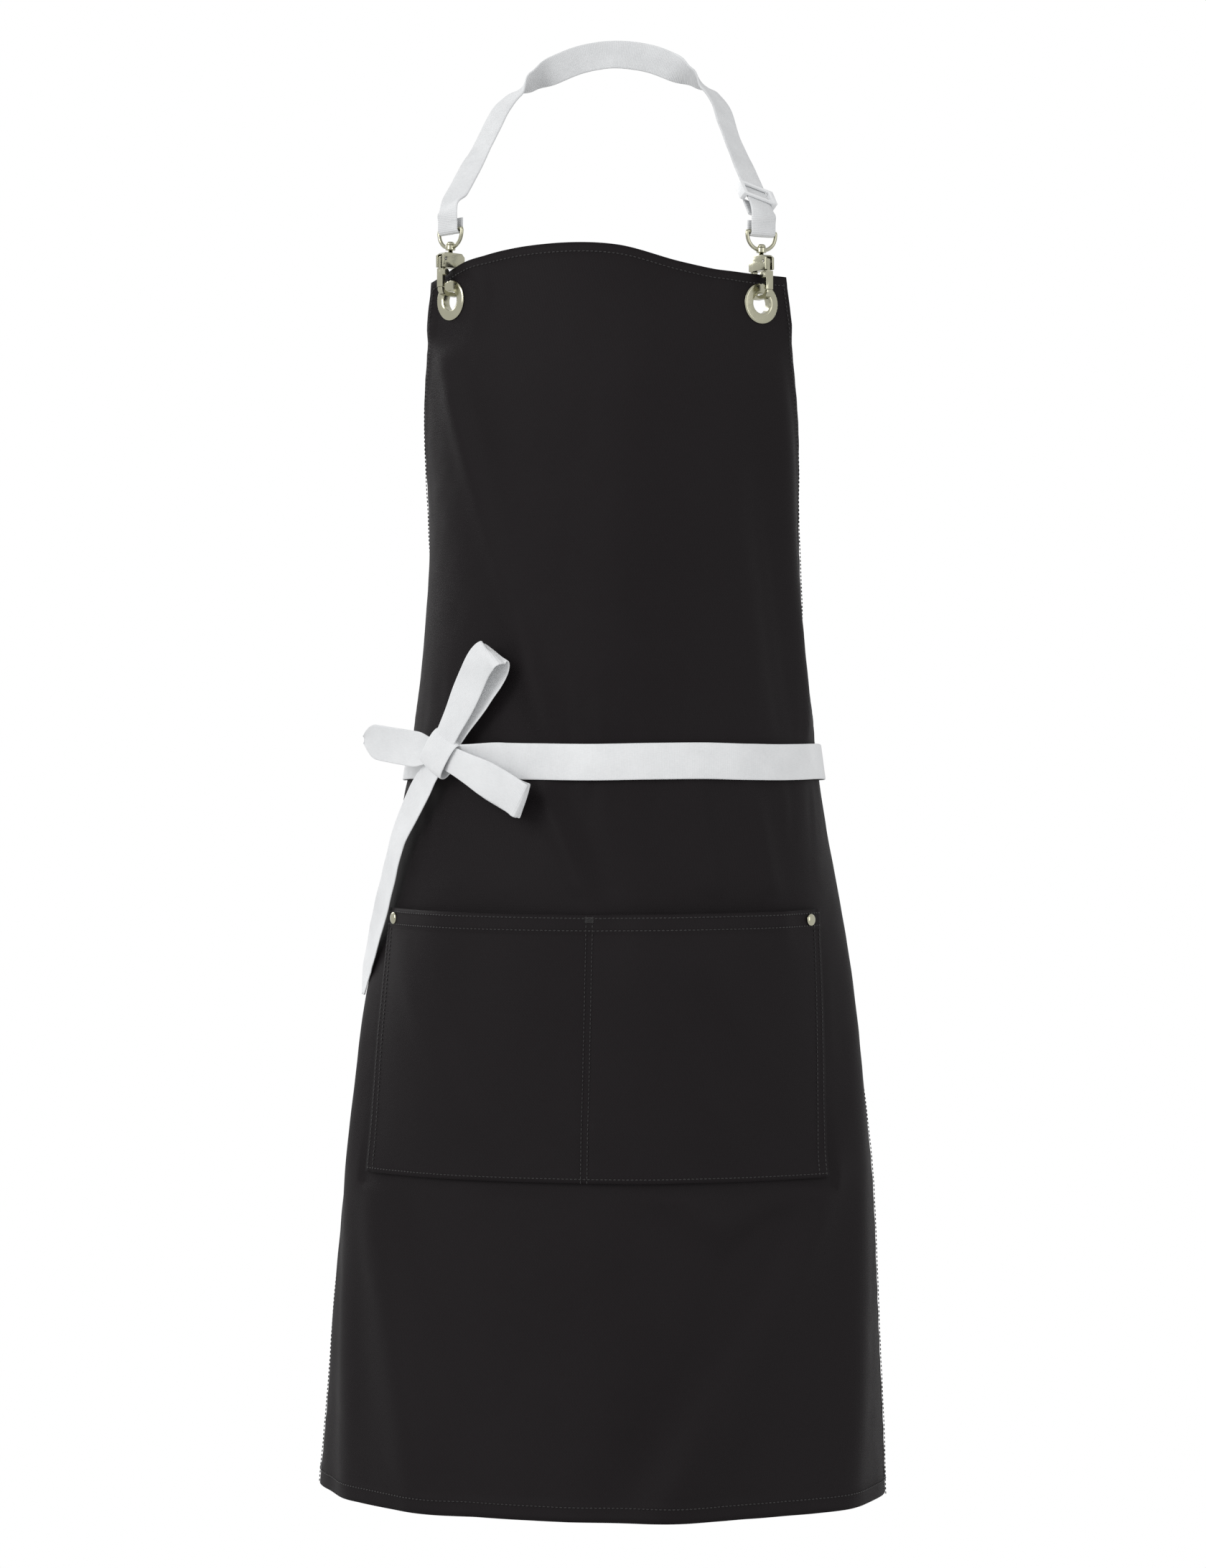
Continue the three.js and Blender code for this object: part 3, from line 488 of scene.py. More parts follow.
def spread(low, high, count, marks):
    """Even places from low to high with a close pair at each mark."""
    places = list(np.linspace(low, high, count))
    for mark in marks:
        clear = [p for p in places if abs(p - mark) > 1.5 or p in (low, high)]
        places = clear + [mark - 0.5, mark + 0.5]
    return sorted(places)


def step_up(inside):
    """The rise of a turned hem, over a millimetre across its inner edge."""
    return HEM_STEP * smooth(inside + 0.5)


def body_grid(columns, rows):
    points, uvs = [], []
    for v in rows:
        for w in columns:
            top = top_edge(w * BIB_HALF)
            z = top + (HEM_Z - top) * v
            half = half_width(z)
            edge = WAIST_HALF * (1 - abs(w))
            side = edge if half > 250 else edge * half / WAIST_HALF
            hem = max(step_up(SIDE_HEM - side), step_up(TOP_HEM - (top - z)),
                      step_up(LOW_HEM - (z - HEM_Z)))
            distance = w * half
            pucker = 0.22 * hem * math.sin(z / 2.6 + 2 * noise.noise(Vector((z / 9, w * 20, 0))))
            points.append(on_cloth(distance, z, hem * 0.6 + pucker) * MM)
            uvs.append((distance * MM, z * MM))
    return points, uvs


side_place = 1 - SIDE_HEM / WAIST_HALF
across = [p for p in np.linspace(-1, 1, 132) if abs(abs(p) - side_place) > 0.006]
across = sorted(across + [s * (side_place + d) for s in (-1, 1) for d in (-0.002, 0.002)])
down = [d / LENGTH for d in spread(0, LENGTH, 210, [TOP_HEM, LENGTH - LOW_HEM])]
body_points, body_uvs = body_grid(across, down)
print("body grid", len(down), "by", len(across))

# %% body
def clear_of_holes(points, centres, columns):
    """Says of each face of a grid whether it lies clear of the grommets' holes."""
    def keep(i, j):
        a = i * columns + j
        middle = (points[a] + points[a + columns + 1]) / 2
        return all((middle - c * MM).length > HOLE_CUT * MM for c in centres)
    return keep


def thicken(obj, thickness, offset=-1.0):
    wall = obj.modifiers.new("wall", "SOLIDIFY")
    wall.thickness = thickness * MM
    wall.offset = offset
    wall.use_even_offset = True
    wall.use_rim = True
    return plain(obj)


keep = clear_of_holes(body_points, [g["origin"] for g in grommets.values()], len(across))
body = mesh_object("apron_body", body_points, grid_faces(len(down), len(across), keep), body_uvs)
body.data.materials.append(TWILL)
body = thicken(body, CLOTH)
levels = np.linspace(HEM_Z, top_edge(0), 60)
flat_area = float(2 * np.mean([half_width(z) for z in levels]) * LENGTH * MM * MM)
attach(body, "apron")
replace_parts(body, "apron_panel")
print("body faces", len(body.data.polygons), "flat area", round(flat_area, 3))

# %% [markdown]
# ## The facing
# A strip of the same twill behind the top of the bib takes the pull of the grommets. It could be the
# body's own top rows again, but a grid of its own stays a separate piece, just behind the cloth, that
# follows the same folds.

# %% facing behind the bib's top
FACING_DROP, FACING_GAP, FACING_THICK = 44, 0.35, 1.0
facing_down = np.linspace(0.6, FACING_DROP, 16)
facing_across = np.linspace(-0.993, 0.993, 70)
facing_points, facing_uvs = [], []
for d in facing_down:
    for w in facing_across:
        z = top_edge(w * BIB_HALF) - d
        facing_points.append(on_cloth(w * half_width(z), z, -CLOTH - FACING_GAP) * MM)
        facing_uvs.append((w * half_width(z) * MM, z * MM))
behind = [g["origin"] - g["normal"] * 1.6 for g in grommets.values()]
keep = clear_of_holes(facing_points, behind, len(facing_across))
facing_faces = grid_faces(len(facing_down), len(facing_across), keep)
facing = mesh_object("top_facing_cloth", facing_points, facing_faces, facing_uvs)
facing.data.materials.append(TWILL)
facing = thicken(facing, FACING_THICK)
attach(facing, "apron")
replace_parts(facing, "top_facing")
print("facing faces", len(facing.data.polygons))

# %% [markdown]
# ## The pocket
# One panel over the whole front, sewn down at both sides, along the bottom and up the middle, so it
# makes two pockets. Its top hem hangs a little open between the seams. It could be cut from the body's
# grid, but it lies over the body's folds and stands away from them, so it has its own grid, lifted off
# the same surface.

# %% pocket
POCKET_OPEN, POCKET_DIP, POCKET_HEM = 8.0, 2.2, 13.0


def pocket_level(s, d):
    """The height of a place d down the pocket, whose top dips a little towards the middle."""
    return POCKET_TOP - d - POCKET_DIP * (1 - abs(s) / POCKET_HALF) * (1 - d / POCKET_HEIGHT)


def pocket_stand(distance, z):
    """How far the pocket stands open: most at the top, halfway between two seams."""
    half = min(1.0, abs(distance) / POCKET_HALF)
    down = min(1.0, max(0.0, (POCKET_TOP - z) / POCKET_HEIGHT))
    return POCKET_OPEN * max(0.0, math.sin(math.pi * half)) ** 1.3 * math.cos(math.pi / 2 * down) ** 1.2


def on_pocket(distance, z, out=0.0):
    sag = 1.2 * math.exp(-(((z - POCKET_TOP) / 16)**2)) * noise.noise(Vector((distance / 34, 0.4, 9.1)))
    lift = 1.9 + pocket_stand(distance, z) + sag + out
    return around(angle_at(distance, z), z, lift + max(relief(distance, z), -1.6))


pocket_down = spread(0, POCKET_HEIGHT, 62, [POCKET_HEM])
pocket_across = np.linspace(-POCKET_HALF, POCKET_HALF, 120)
pocket_points, pocket_uvs = [], []
for d in pocket_down:
    for s in pocket_across:
        z = pocket_level(s, d)
        inside = POCKET_HALF - abs(s)
        hem = step_up(POCKET_HEM - d) + 0.5 * step_up(4.5 - inside)
        seam = -0.5 * math.exp(-((s / 2.6)**2)) - 0.35 * math.exp(-(((inside - 5) / 1.6)**2))
        pocket_points.append(on_pocket(s, z, hem * 0.7 + seam) * MM)
        pocket_uvs.append((s * MM, z * MM))
pocket_faces = grid_faces(len(pocket_down), len(pocket_across))
pocket = mesh_object("pocket_cloth", pocket_points, pocket_faces, pocket_uvs)
pocket.data.materials.append(TWILL)
pocket = thicken(pocket, 1.0, offset=1.0)
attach(pocket, "apron")
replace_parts(pocket, "pocket_panel")
print("pocket faces", len(pocket.data.polygons))

# %% [markdown]
# ## Stitching
# A stitch is a short fat bead of thread half sunk in the cloth. A bump could draw it, but it would lie
# flat in a close view. Geometry Nodes space real beads along each seam's line instead: the tree takes
# the pitch, the thread and the length as inputs, turns each bead along the seam, and realises the
# copies so that they can be exported.

# %% the stitch tree
def stitch_tree():
    tree = bpy.data.node_groups.new("stitch_row", "GeometryNodeTree")
    face = tree.interface
    face.new_socket("Geometry", in_out="INPUT", socket_type="NodeSocketGeometry")
    for label, default in (("Pitch", 0.003), ("Thread", 0.0004), ("Length", 0.0021)):
        face.new_socket(label, in_out="INPUT", socket_type="NodeSocketFloat").default_value = default
    face.new_socket("Finish", in_out="INPUT", socket_type="NodeSocketMaterial")
    face.new_socket("Geometry", in_out="OUTPUT", socket_type="NodeSocketGeometry")
    add = tree.nodes.new
    source, result = add("NodeGroupInput"), add("NodeGroupOutput")
    spaced = add("GeometryNodeResampleCurve")
    spaced.mode = "LENGTH"
    bead = add("GeometryNodeMeshUVSphere")
    bead.inputs["Segments"].default_value = 6
    bead.inputs["Rings"].default_value = 4
    bead.inputs["Radius"].default_value = 1.0
    size = add("ShaderNodeCombineXYZ")
    half = add("ShaderNodeMath")
    half.operation = "MULTIPLY"
    half.inputs[1].default_value = 0.5
    sized = add("GeometryNodeTransform")
    copies = add("GeometryNodeInstanceOnPoints")
    tangent = add("GeometryNodeInputTangent")
    turn = add("FunctionNodeAlignRotationToVector")
    turn.axis = "Z"
    real = add("GeometryNodeRealizeInstances")
    shade = add("GeometryNodeSetShadeSmooth")
    finish = add("GeometryNodeSetMaterial")
    link = tree.links.new
    link(source.outputs["Geometry"], spaced.inputs["Curve"])
    link(source.outputs["Pitch"], spaced.inputs["Length"])
    link(source.outputs["Length"], half.inputs[0])
    link(source.outputs["Thread"], size.inputs["X"])
    link(source.outputs["Thread"], size.inputs["Y"])
    link(half.outputs[0], size.inputs["Z"])
    link(bead.outputs["Mesh"], sized.inputs["Geometry"])
    link(size.outputs[0], sized.inputs["Scale"])
    link(spaced.outputs["Curve"], copies.inputs["Points"])
    link(sized.outputs["Geometry"], copies.inputs["Instance"])
    link(tangent.outputs["Tangent"], turn.inputs["Vector"])
    link(turn.outputs["Rotation"], copies.inputs["Rotation"])
    link(copies.outputs["Instances"], real.inputs["Geometry"])
    link(real.outputs["Geometry"], shade.inputs["Geometry"])
    link(shade.outputs["Geometry"], finish.inputs["Geometry"])
    link(source.outputs["Finish"], finish.inputs["Material"])
    link(finish.outputs["Geometry"], result.inputs["Geometry"])
    return tree

# %% rows of stitches
STITCHES = stitch_tree()
THREAD_R = 0.0004
SOCKETS = {s.name: s.identifier for s in STITCHES.interface.items_tree if s.in_out == "INPUT"}


def stitch_rows(name, rows, body_name, finish, pitch=0.003, length=0.0021):
    """One piece of stitching: every row is a list of points on the cloth, in metres."""
    curve = bpy.data.curves.new(name, "CURVE")
    curve.dimensions = "3D"
    for row in rows:
        spline = curve.splines.new("POLY")
        spline.points.add(len(row) - 1)
        spline.points.foreach_set("co", [c for p in row for c in (*p, 1.0)])
    obj = bpy.data.objects.new(name, curve)
    bpy.context.scene.collection.objects.link(obj)
    sew = obj.modifiers.new("sew", "NODES")
    sew.node_group = STITCHES
    for label, value in (("Pitch", pitch), ("Thread", THREAD_R), ("Length", length), ("Finish", finish)):
        sew[SOCKETS[label]] = value
    obj = plain(obj)
    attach(obj, body_name)
    print(name, "faces", len(obj.data.polygons))
    return obj


def line(count, place):
    return [place(t) * MM for t in np.linspace(0, 1, count)]

# %% [markdown]
# ## Seams
# The hems are sewn all round near their inner edge, and the pocket has double rows at its sides with a
# bar tack at the top of the middle seam. A seam could be drawn as a curve by hand; here it is a
# function from 0 to 1 that asks the cloth for its place, so the thread stays on it over every fold.

# %% seams on the body
PROUD = 0.95  # the thread's middle, over the cloth's own surface
SEAM_FROM_EDGE = 1.8
hem_in = 1 - (SIDE_HEM - SEAM_FROM_EDGE) / WAIST_HALF


def side_seam(sign):
    top = top_edge(sign * BIB_HALF)

    def place(t):
        z = top - 6 + (HEM_Z + 6 - top) * t
        return on_cloth(sign * hem_in * half_width(z), z, PROUD)
    return place


def top_seam(t):
    w = 2 * t - 1
    z = top_edge(w * BIB_HALF * 0.96) - TOP_HEM + 1.6
    return on_cloth(w * 0.965 * half_width(z), z, PROUD)


def low_seam(t):
    w = (2 * t - 1) * 0.985
    return on_cloth(w * WAIST_HALF, HEM_Z + LOW_HEM - SEAM_FROM_EDGE, PROUD)


body_rows = [line(420, side_seam(-1)), line(420, side_seam(1))]
body_rows += [line(160, top_seam), line(260, low_seam)]
stitch_rows("body_stitching", body_rows, "apron", DARK_THREAD)

# %% seams on the pocket
POCKET_PROUD = 1.25


def pocket_seam(start, end, lift=POCKET_PROUD):
    """A straight seam on the pocket, from one (across, down) to another."""
    def place(t):
        s, d = (a + (b - a) * t for a, b in zip(start, end))
        return on_pocket(s, pocket_level(s, d), lift)
    return place


pocket_rows = [line(90, pocket_seam((s, 3), (s, 184))) for s in (-175.5, -169.5, 169.5, 175.5)]
pocket_rows += [line(90, pocket_seam((s, 2), (s, 186))) for s in (-2.2, 2.2)]
pocket_rows += [line(150, pocket_seam((-175, d), (175, d), POCKET_PROUD + lift))
                for d, lift in ((184, 0), (11.2, 0.4), (2.5, 0.4))]
tack = [line(12, pocket_seam((-2.6, d), (2.6, d))) for d in (2, 3, 4, 5)]
stitch_rows("pocket_stitching", pocket_rows, "apron", DARK_THREAD)
stitch_rows("pocket_bar_tack", tack, "apron", DARK_THREAD, pitch=0.0007, length=0.0012)

# %% [markdown]
# ## Tapes and webbing
# A woven tape is a flat ribbon with rounded selvedges. A curve with a bevel would make one too, but it
# decides its own twist. So the profile is swept here along a path with its face turned to given
# normals, and the ends are closed, which makes one solid strip with a UV map along its length.

# %% ribbons
EDGE = [(0.5, 0.0), (0.492, 0.3), (0.47, 0.46), (0.44, 0.5), (0.25, 0.5)]  # from one selvedge inwards
UPPER = [(-w, n) for w, n in EDGE] + [(0.0, 0.5)] + EDGE[:0:-1]
PROFILE = UPPER + [(0.5, 0.0)] + [(-w, -n) for w, n in UPPER[1:]]
print("points round a tape", len(PROFILE))


def outward(obj, merge=0.0):
    """Points nearer than merge become one, and every face is turned to point outwards."""
    work = bmesh.new()
    work.from_mesh(obj.data)
    if merge:
        bmesh.ops.remove_doubles(work, verts=work.verts, dist=merge)
    bmesh.ops.recalc_face_normals(work, faces=work.faces)
    work.to_mesh(obj.data)
    work.free()


def ribbon(name, path, normals, width, thick, finish, crown=0.0, squeeze=None):
    """A tape along path, in millimetres: crown cups it, squeeze narrows it along its length."""
    rings, uvs, faces = [], [], []
    run = 0.0
    count = len(PROFILE)
    last = len(path) - 1
    for k, place in enumerate(path):
        ahead, behind = path[min(last, k + 1)], path[max(0, k - 1)]
        along = (ahead - behind).normalized()
        side = along.cross(normals[k]).normalized()
        face = side.cross(along).normalized()
        if k:
            run += (path[k] - path[k - 1]).length
        narrow = squeeze(k / last) if squeeze else 1.0
        wander = 0.25 * noise.noise(Vector((run / 26, width, 3.3)))
        for w, n in PROFILE:
            cup = crown * (1 - (2 * w) ** 2) + 0.3 * noise.noise(Vector((run / 14, w * 3, 8.0)))
            rings.append((place + side * (w * width * narrow + wander) + face * (n * thick + cup)) * MM)
            uvs.append((w * width * MM, run * MM))
        if k:
            a, b = (k - 1) * count, k * count
            faces += [(a + m, a + (m + 1) % count, b + (m + 1) % count, b + m) for m in range(count)]
    faces.append(tuple(range(count))[::-1])
    faces.append(tuple(range(last * count, last * count + count)))
    obj = mesh_object(name, rings, faces, uvs)
    outward(obj)
    obj.data.materials.append(finish)
    return obj, run

# %% [markdown]
# ## The clasps' own frames
# Each snap hook hangs square to the cloth at its grommet, and the two grommets face different ways. The
# parts could be turned one by one, but a frame at each grommet lets both sides share the same numbers.

# %% the clasps' own frames
UP = Vector((0, 0, 1))
POST_SIDE, BAR_Z, WIRE_R, WEBBING_THICK, WEBBING_W = 0.5, 49.5, 1.35, 1.6, 20.0
FLEX = 5.5  # how far over the bar the webbing starts to bend
LAYER = WIRE_R + 0.45 + WEBBING_THICK / 2


def clasp_matrix(g):
    """X across the cloth, -Y outwards, Z up, from the grommet's centre, in millimetres."""
    n = g["normal"]
    turn = math.atan2(n.x, -n.y)
    return Matrix.Translation(g["origin"]) @ Matrix.Rotation(turn, 4, "Z")


CLASP = {side: clasp_matrix(g) for side, g in grommets.items()}

# %% [markdown]
# ## Neck webbing
# The webbing goes up from one ring, over the back of the neck and down to the other ring, and each end
# is folded round the ring's bar. The folded ends could be pieces of their own, but the real webbing is
# one length, so it is one ribbon.

# %% neck webbing
LOOP = [  # across, back, up, turn in degrees, upward lean
    (22, 0, -2.8, 6, 0.1), (41, -3, -10, 14, 0.2), (58, -8, -19.5, 62, 0.75),
    (71, -15, -31, 118, 0.75), (80, -24, -44, 126, 0.35), (87, -37, -64, 130, 0.2)]
STRAIGHT = 52.0


def neck_side(side, sign):
    """One side of the webbing: round the ring's bar, straight up the clasp, then over the neck."""
    g, matrix = grommets[side], CLASP[side]
    foot = matrix @ Vector((0, -POST_SIDE - LAYER, BAR_Z + 8 + FLEX))
    nearest = Vector((sign * LOOP[-1][0], *LOOP[-1][1:3]))
    up = (nearest - foot).normalized()
    run = min(STRAIGHT, (nearest - foot).length - 12)
    points, normals = [], []
    bend = [(LAYER * math.cos(a), -LAYER * math.sin(a)) for a in np.linspace(0, math.pi, 9)]
    for back, up_bar in [(LAYER, 8), (LAYER, 4), *bend, (-LAYER, 5)]:
        points.append(matrix @ Vector((0, back - POST_SIDE, BAR_Z + up_bar)))
    centre = matrix @ Vector((0, -POST_SIDE, BAR_Z))
    for p in points:
        flat = p - centre
        flat.z = min(flat.z, 0)
        normals.append(flat.normalized())
    front = Vector((0, -1, 0))
    for k in range(4):
        points.append(foot + up * (run * k / 3))
        normals.append(g["normal"].lerp(front, 0.45 * (k > 0 > sign)).normalized())
    for x, y, z, turn, lean in LOOP[::-1]:
        points.append(Vector((sign * x, y, z)))
        a = math.radians(turn + (18 if turn > 90 and sign < 0 else 0))
        normals.append(Vector((sign * math.sin(a), math.cos(a), lean)).normalized())
    return points, normals


left_points, left_normals = neck_side("left", -1)
right_points, right_normals = neck_side("right", 1)
neck_points = left_points + [Vector((0, 0.8, 0))] + right_points[::-1]
neck_normals = left_normals + [Vector((0, 1, 0))] + right_normals[::-1]


def run_with_normals(points, normals, step):
    """Places every step or so on a smooth curve through the points, and the normals between theirs."""
    path, faces = [], []
    pts = [2 * points[0] - points[1]] + list(points) + [2 * points[-1] - points[-2]]
    for k in range(len(points) - 1):
        p0, p1, p2, p3 = pts[k:k + 4]
        parts = max(1, round((p2 - p1).length / step))
        for n in range(parts):
            t = n / parts
            path.append(0.5 * (2 * p1 + (p2 - p0) * t + (2 * p0 - 5 * p1 + 4 * p2 - p3) * t**2
                               + (3 * p1 - p0 - 3 * p2 + p3) * t**3))
            faces.append(normals[k].lerp(normals[k + 1], smooth(t)).normalized())
    return path + [points[-1]], faces + [normals[-1]]


path, faces = run_with_normals(neck_points, neck_normals, 2.0)
webbing, webbing_run = ribbon("neck_webbing", path, faces, WEBBING_W, WEBBING_THICK, WEBBING)
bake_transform(webbing)
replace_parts(webbing, "neck_strap", "strap_end_left", "strap_end_right")
print("webbing length", round(webbing_run))

# %% [markdown]
# ## Waist ties
# The ties leave the apron's sides, cross behind the wearer and come round to the front. Flat rings at
# one height would touch where they cross, so one rides a little higher and the other lower behind, and
# they come together again before the bow. The one that crosses the front is drawn narrow at the knot.

# %% waist ties round the back
TIE, TIE_THICK = 25.4, 1.2
KNOT_ANGLE = -45.0  # degrees round from the front, where the bow is tied
SEWN_ANGLE = 108.0  # where each tie comes out from behind the apron's side
BACK_SHIFT = TIE / 2 + 1.5


def tie_band(name, sign, stop, front_out, seed):
    """From the sewn end behind the side, round the wearer's back, to the bow."""
    path, faces = [], []
    last = 360 + sign * stop
    for angle in np.arange(SEWN_ANGLE, last + 0.01, 1.5):
        apart = smooth((angle - SEWN_ANGLE) / 37) * smooth((360 - SEWN_ANGLE - angle) / 37)
        knotted = smooth((angle - last + 17) / 16) if sign < 0 else 0.0
        z = WAIST_Z + sign * BACK_SHIFT * apart + 5.5 * knotted + 0.5 * math.sin(angle / 9 + seed)
        out = 1.1 + 2.1 * smooth((angle - 145) / 70) + (front_out - 3.2) * smooth((angle - 260) / 25)
        a = math.radians(sign * angle)
        path.append(around(a, z, out + 0.12 + 6.2 * knotted))
        level_line = around(a + 0.01, z) - around(a - 0.01, z)
        tilt = Matrix.Rotation(math.radians(30 * knotted), 3, level_line)
        faces.append(tilt @ square_to(a, z))
    narrow = (lambda t: 1 - 0.45 * smooth((t - 0.945) / 0.05)) if sign < 0 else None
    obj, run = ribbon(name, path, faces, TIE, TIE_THICK, TAPE, squeeze=narrow)
    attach(obj, "apron")
    print(name, round(run))
    return obj


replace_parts(tie_band("waist_tie_right", 1, KNOT_ANGLE - 9, 2.6, 0.0), "tie_right_band")
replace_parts(tie_band("waist_tie_left", -1, KNOT_ANGLE + 3, 1.9, 2.0), "tie_left_band")

# %% [markdown]
# ## The bow
# Two loops, two tails and a wrapped knot share a plane that faces out at the knot. A simulated knot
# seldom settles the way a hand leaves it, so every part has its own path. Each loop goes out on one
# layer and comes back on the other, a few degrees apart, so a sliver of its inside shows.

# %% bow loops
BOW_TURN = -32
knot_at = around(math.radians(KNOT_ANGLE), WAIST_Z + 6, 12)
BOW = Matrix.Translation(knot_at) @ Matrix.Rotation(math.radians(BOW_TURN), 4, "Z")


def bow_loop(name, node_name, length, gap, turn, splay):
    frame_of_loop = BOW @ Matrix.Rotation(math.radians(turn), 4, "Y")
    start, steps = 9.0, 72
    path = []
    for k in range(steps + 1):
        t = 2 * k / steps - 1
        u = abs(t)
        reach = length - (length - start) * t * t
        swell = math.sqrt(1 - (1 - min(1, u / 0.34)) ** 2)
        depth = math.copysign(gap * swell * (1 - 0.66 * smooth((u - 0.3) / 0.6)) + 0.9 * u, t)
        aside = math.copysign(reach * math.tan(math.radians(splay)), -t) * smooth(u / 0.5)
        sag = 0.7 * math.sin(3.3 * u + turn) * u
        path.append(Vector((reach, depth + sag, aside)))
    ahead = [(path[min(steps, k + 1)] - path[max(0, k - 1)]).normalized() for k in range(steps + 1)]
    faces = [frame_of_loop.to_3x3() @ a.cross(UP) for a in ahead]

    def pinch(t):
        return 0.74 + 0.26 * smooth(min(t, 1 - t) * 2 / 0.34)

    placed = [frame_of_loop @ p for p in path]
    obj, run = ribbon(name, placed, faces, TIE, TIE_THICK, TAPE, crown=0.9, squeeze=pinch)
    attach(obj, "apron")
    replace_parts(obj, node_name)
    print(name, round(run))


bow_loop("bow_loop_high", "bow_loop_upper", 84, 5.2, -55, 2.6)
bow_loop("bow_loop_low", "bow_loop_lower", 82, 3.2, 24, 1.2)

# %% short tail
def tapered(t):
    return (0.66 + 0.34 * smooth(t / 0.3)) * (1 - 0.78 * max(0.0, (t - 0.8) / 0.2) ** 2.2)


SHORT_RUN = ((-6, 0.5, 1), (-16, 0.2, 2), (-32, -1, 4), (-52, -2, 7), (-73, -1, 10))
tail_points = [BOW @ Vector(p) for p in SHORT_RUN]
tail_path = run_with_normals(tail_points, [UP] * len(tail_points), 1.5)[0]
parts = [k / len(tail_path) for k in range(len(tail_path))]
facing_out = [BOW.to_3x3() @ Vector((-0.05 + 0.25 * part, -1, 0.25 - 0.5 * part)) for part in parts]
short_tail, run = ribbon("bow_tail_short", tail_path, facing_out, TIE, TIE_THICK, TAPE, crown=-1.2,
                         squeeze=tapered)
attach(short_tail, "apron")
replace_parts(short_tail, "tie_tail_short")
print("short tail", round(run))

# %% [markdown]
# ## The long tail
# The long end hangs from the knot down the front of the apron, and it is the one that lifts. A straight
# strip would cut into the cloth, so its path is asked of the same surface at each level, a little way
# out, and it turns slowly towards its cut end.

# %% long tail
TAIL_DROPS = [  # across and down from the knot
    (-2, -4), (-12, -17), (-24, -36), (-36, -58), (-43, -80), (-50, -104), (-58, -128), (-66, -152),
    (-70, -174)]
TAIL_TWIST = 12
tail_points, tail_normals = [], []
for k, (dx, dz) in enumerate(TAIL_DROPS):
    level = knot_at.z + dz
    part = max(0, k - 1) / (len(TAIL_DROPS) - 2)
    out = 6.5 + 5.5 * (1 - part) ** 2
    sine = (knot_at.x + dx - LEAN * (level - WAIST_Z)) / (semi_width(level) + out)
    angle = math.asin(max(-0.985, sine))
    tail_points.append(around(angle, level, out))
    tail_normals.append(square_to(angle, level))
path, faces = run_with_normals(tail_points, tail_normals, 1.5)
for k, normal in enumerate(faces):
    twist = math.radians(TAIL_TWIST * smooth((k / len(path) - 0.35) / 0.4))
    faces[k] = Matrix.Rotation(twist, 3, UP) @ normal


def pointed(t):
    return (0.62 + 0.38 * smooth(t / 0.2)) * (1 - 0.8 * max(0.0, (t - 0.9) / 0.1))


long_tail, run = ribbon("bow_tail_long", path, faces, TIE, TIE_THICK, TAPE, crown=-0.8, squeeze=pointed)
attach(long_tail, "tail")
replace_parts(long_tail, "tie_tail_long")
print("long tail", round(run))

# %% [markdown]
# ## The knot
# The tape goes round a hard core. Tying it for real is not worth the trouble where only one turn shows:
# it is a closed band, wider than it is thick, over a plain rounded middle.

# %% knot
KNOT_TURN, KNOT_CORE = 34, (11.4, 4.9, 13.0)
wrap_frame = BOW @ Matrix.Rotation(math.radians(KNOT_TURN), 4, "Y")
wrap_path, wrap_faces = [], []
for k in range(61):
    a = 2 * math.pi * k / 60
    flat = Vector((0, 5.4 * math.copysign(abs(math.sin(a)) ** 0.75, math.sin(a)),
                   13.8 * math.copysign(abs(math.cos(a)) ** 0.8, math.cos(a))))
    wrap_path.append(wrap_frame @ flat)
    wrap_faces.append(wrap_frame.to_3x3() @ Vector((0, math.sin(a) * 1.6, math.cos(a))).normalized())
wrap, run = ribbon("bow_knot_wrap", wrap_path, wrap_faces, 23.5, TIE_THICK, TAPE, crown=0.8)
core = bmesh.new()
bmesh.ops.create_uvsphere(core, u_segments=40, v_segments=24, radius=MM)
bmesh.ops.transform(core, matrix=Matrix.Diagonal((*KNOT_CORE, 1)), verts=core.verts)
for v in core.verts:
    v.co += v.co.normalized() * noise.noise(v.co * 180) * 0.8 * MM
metres = wrap_frame.copy()
metres.translation = wrap_frame.translation * MM
bmesh.ops.transform(core, matrix=metres, verts=core.verts)
for f in core.faces:
    f.smooth = True
core.from_mesh(wrap.data)
core.to_mesh(wrap.data)
core.free()
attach(wrap, "apron")
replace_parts(wrap, "bow_knot")
print("knot wrap", round(run))

# %% [markdown]
# ## Round hardware
# Eyelets, washers, rivets and the hooks' posts are pressed or turned from sheet and rod. The packed
# model has them with flat sides; a bevel would soften the sides but not make them round, so each
# profile is rounded at its corners and turned again with fine steps.

# %% round parts
def turned(name, profile, place, body_name, finish, node_name, steps=72):
    """A profile of (radius, height) turned round the local Y axis of place, height towards -Y."""
    points = []
    for r, h in profile:
        for k in range(steps):
            a = 2 * math.pi * k / steps
            points.append((place @ Vector((r * math.cos(a), -h, r * math.sin(a)))) * MM)
    rings = len(profile)
    faces = [(i * steps + k, i * steps + (k + 1) % steps, (i + 1) % rings * steps + (k + 1) % steps,
              (i + 1) % rings * steps + k) for i in range(rings) for k in range(steps)]
    obj = mesh_object(name, points, faces)
    outward(obj, merge=2e-6)
    obj.data.materials.append(finish)
    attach(obj, body_name)
    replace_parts(obj, node_name)
    return obj


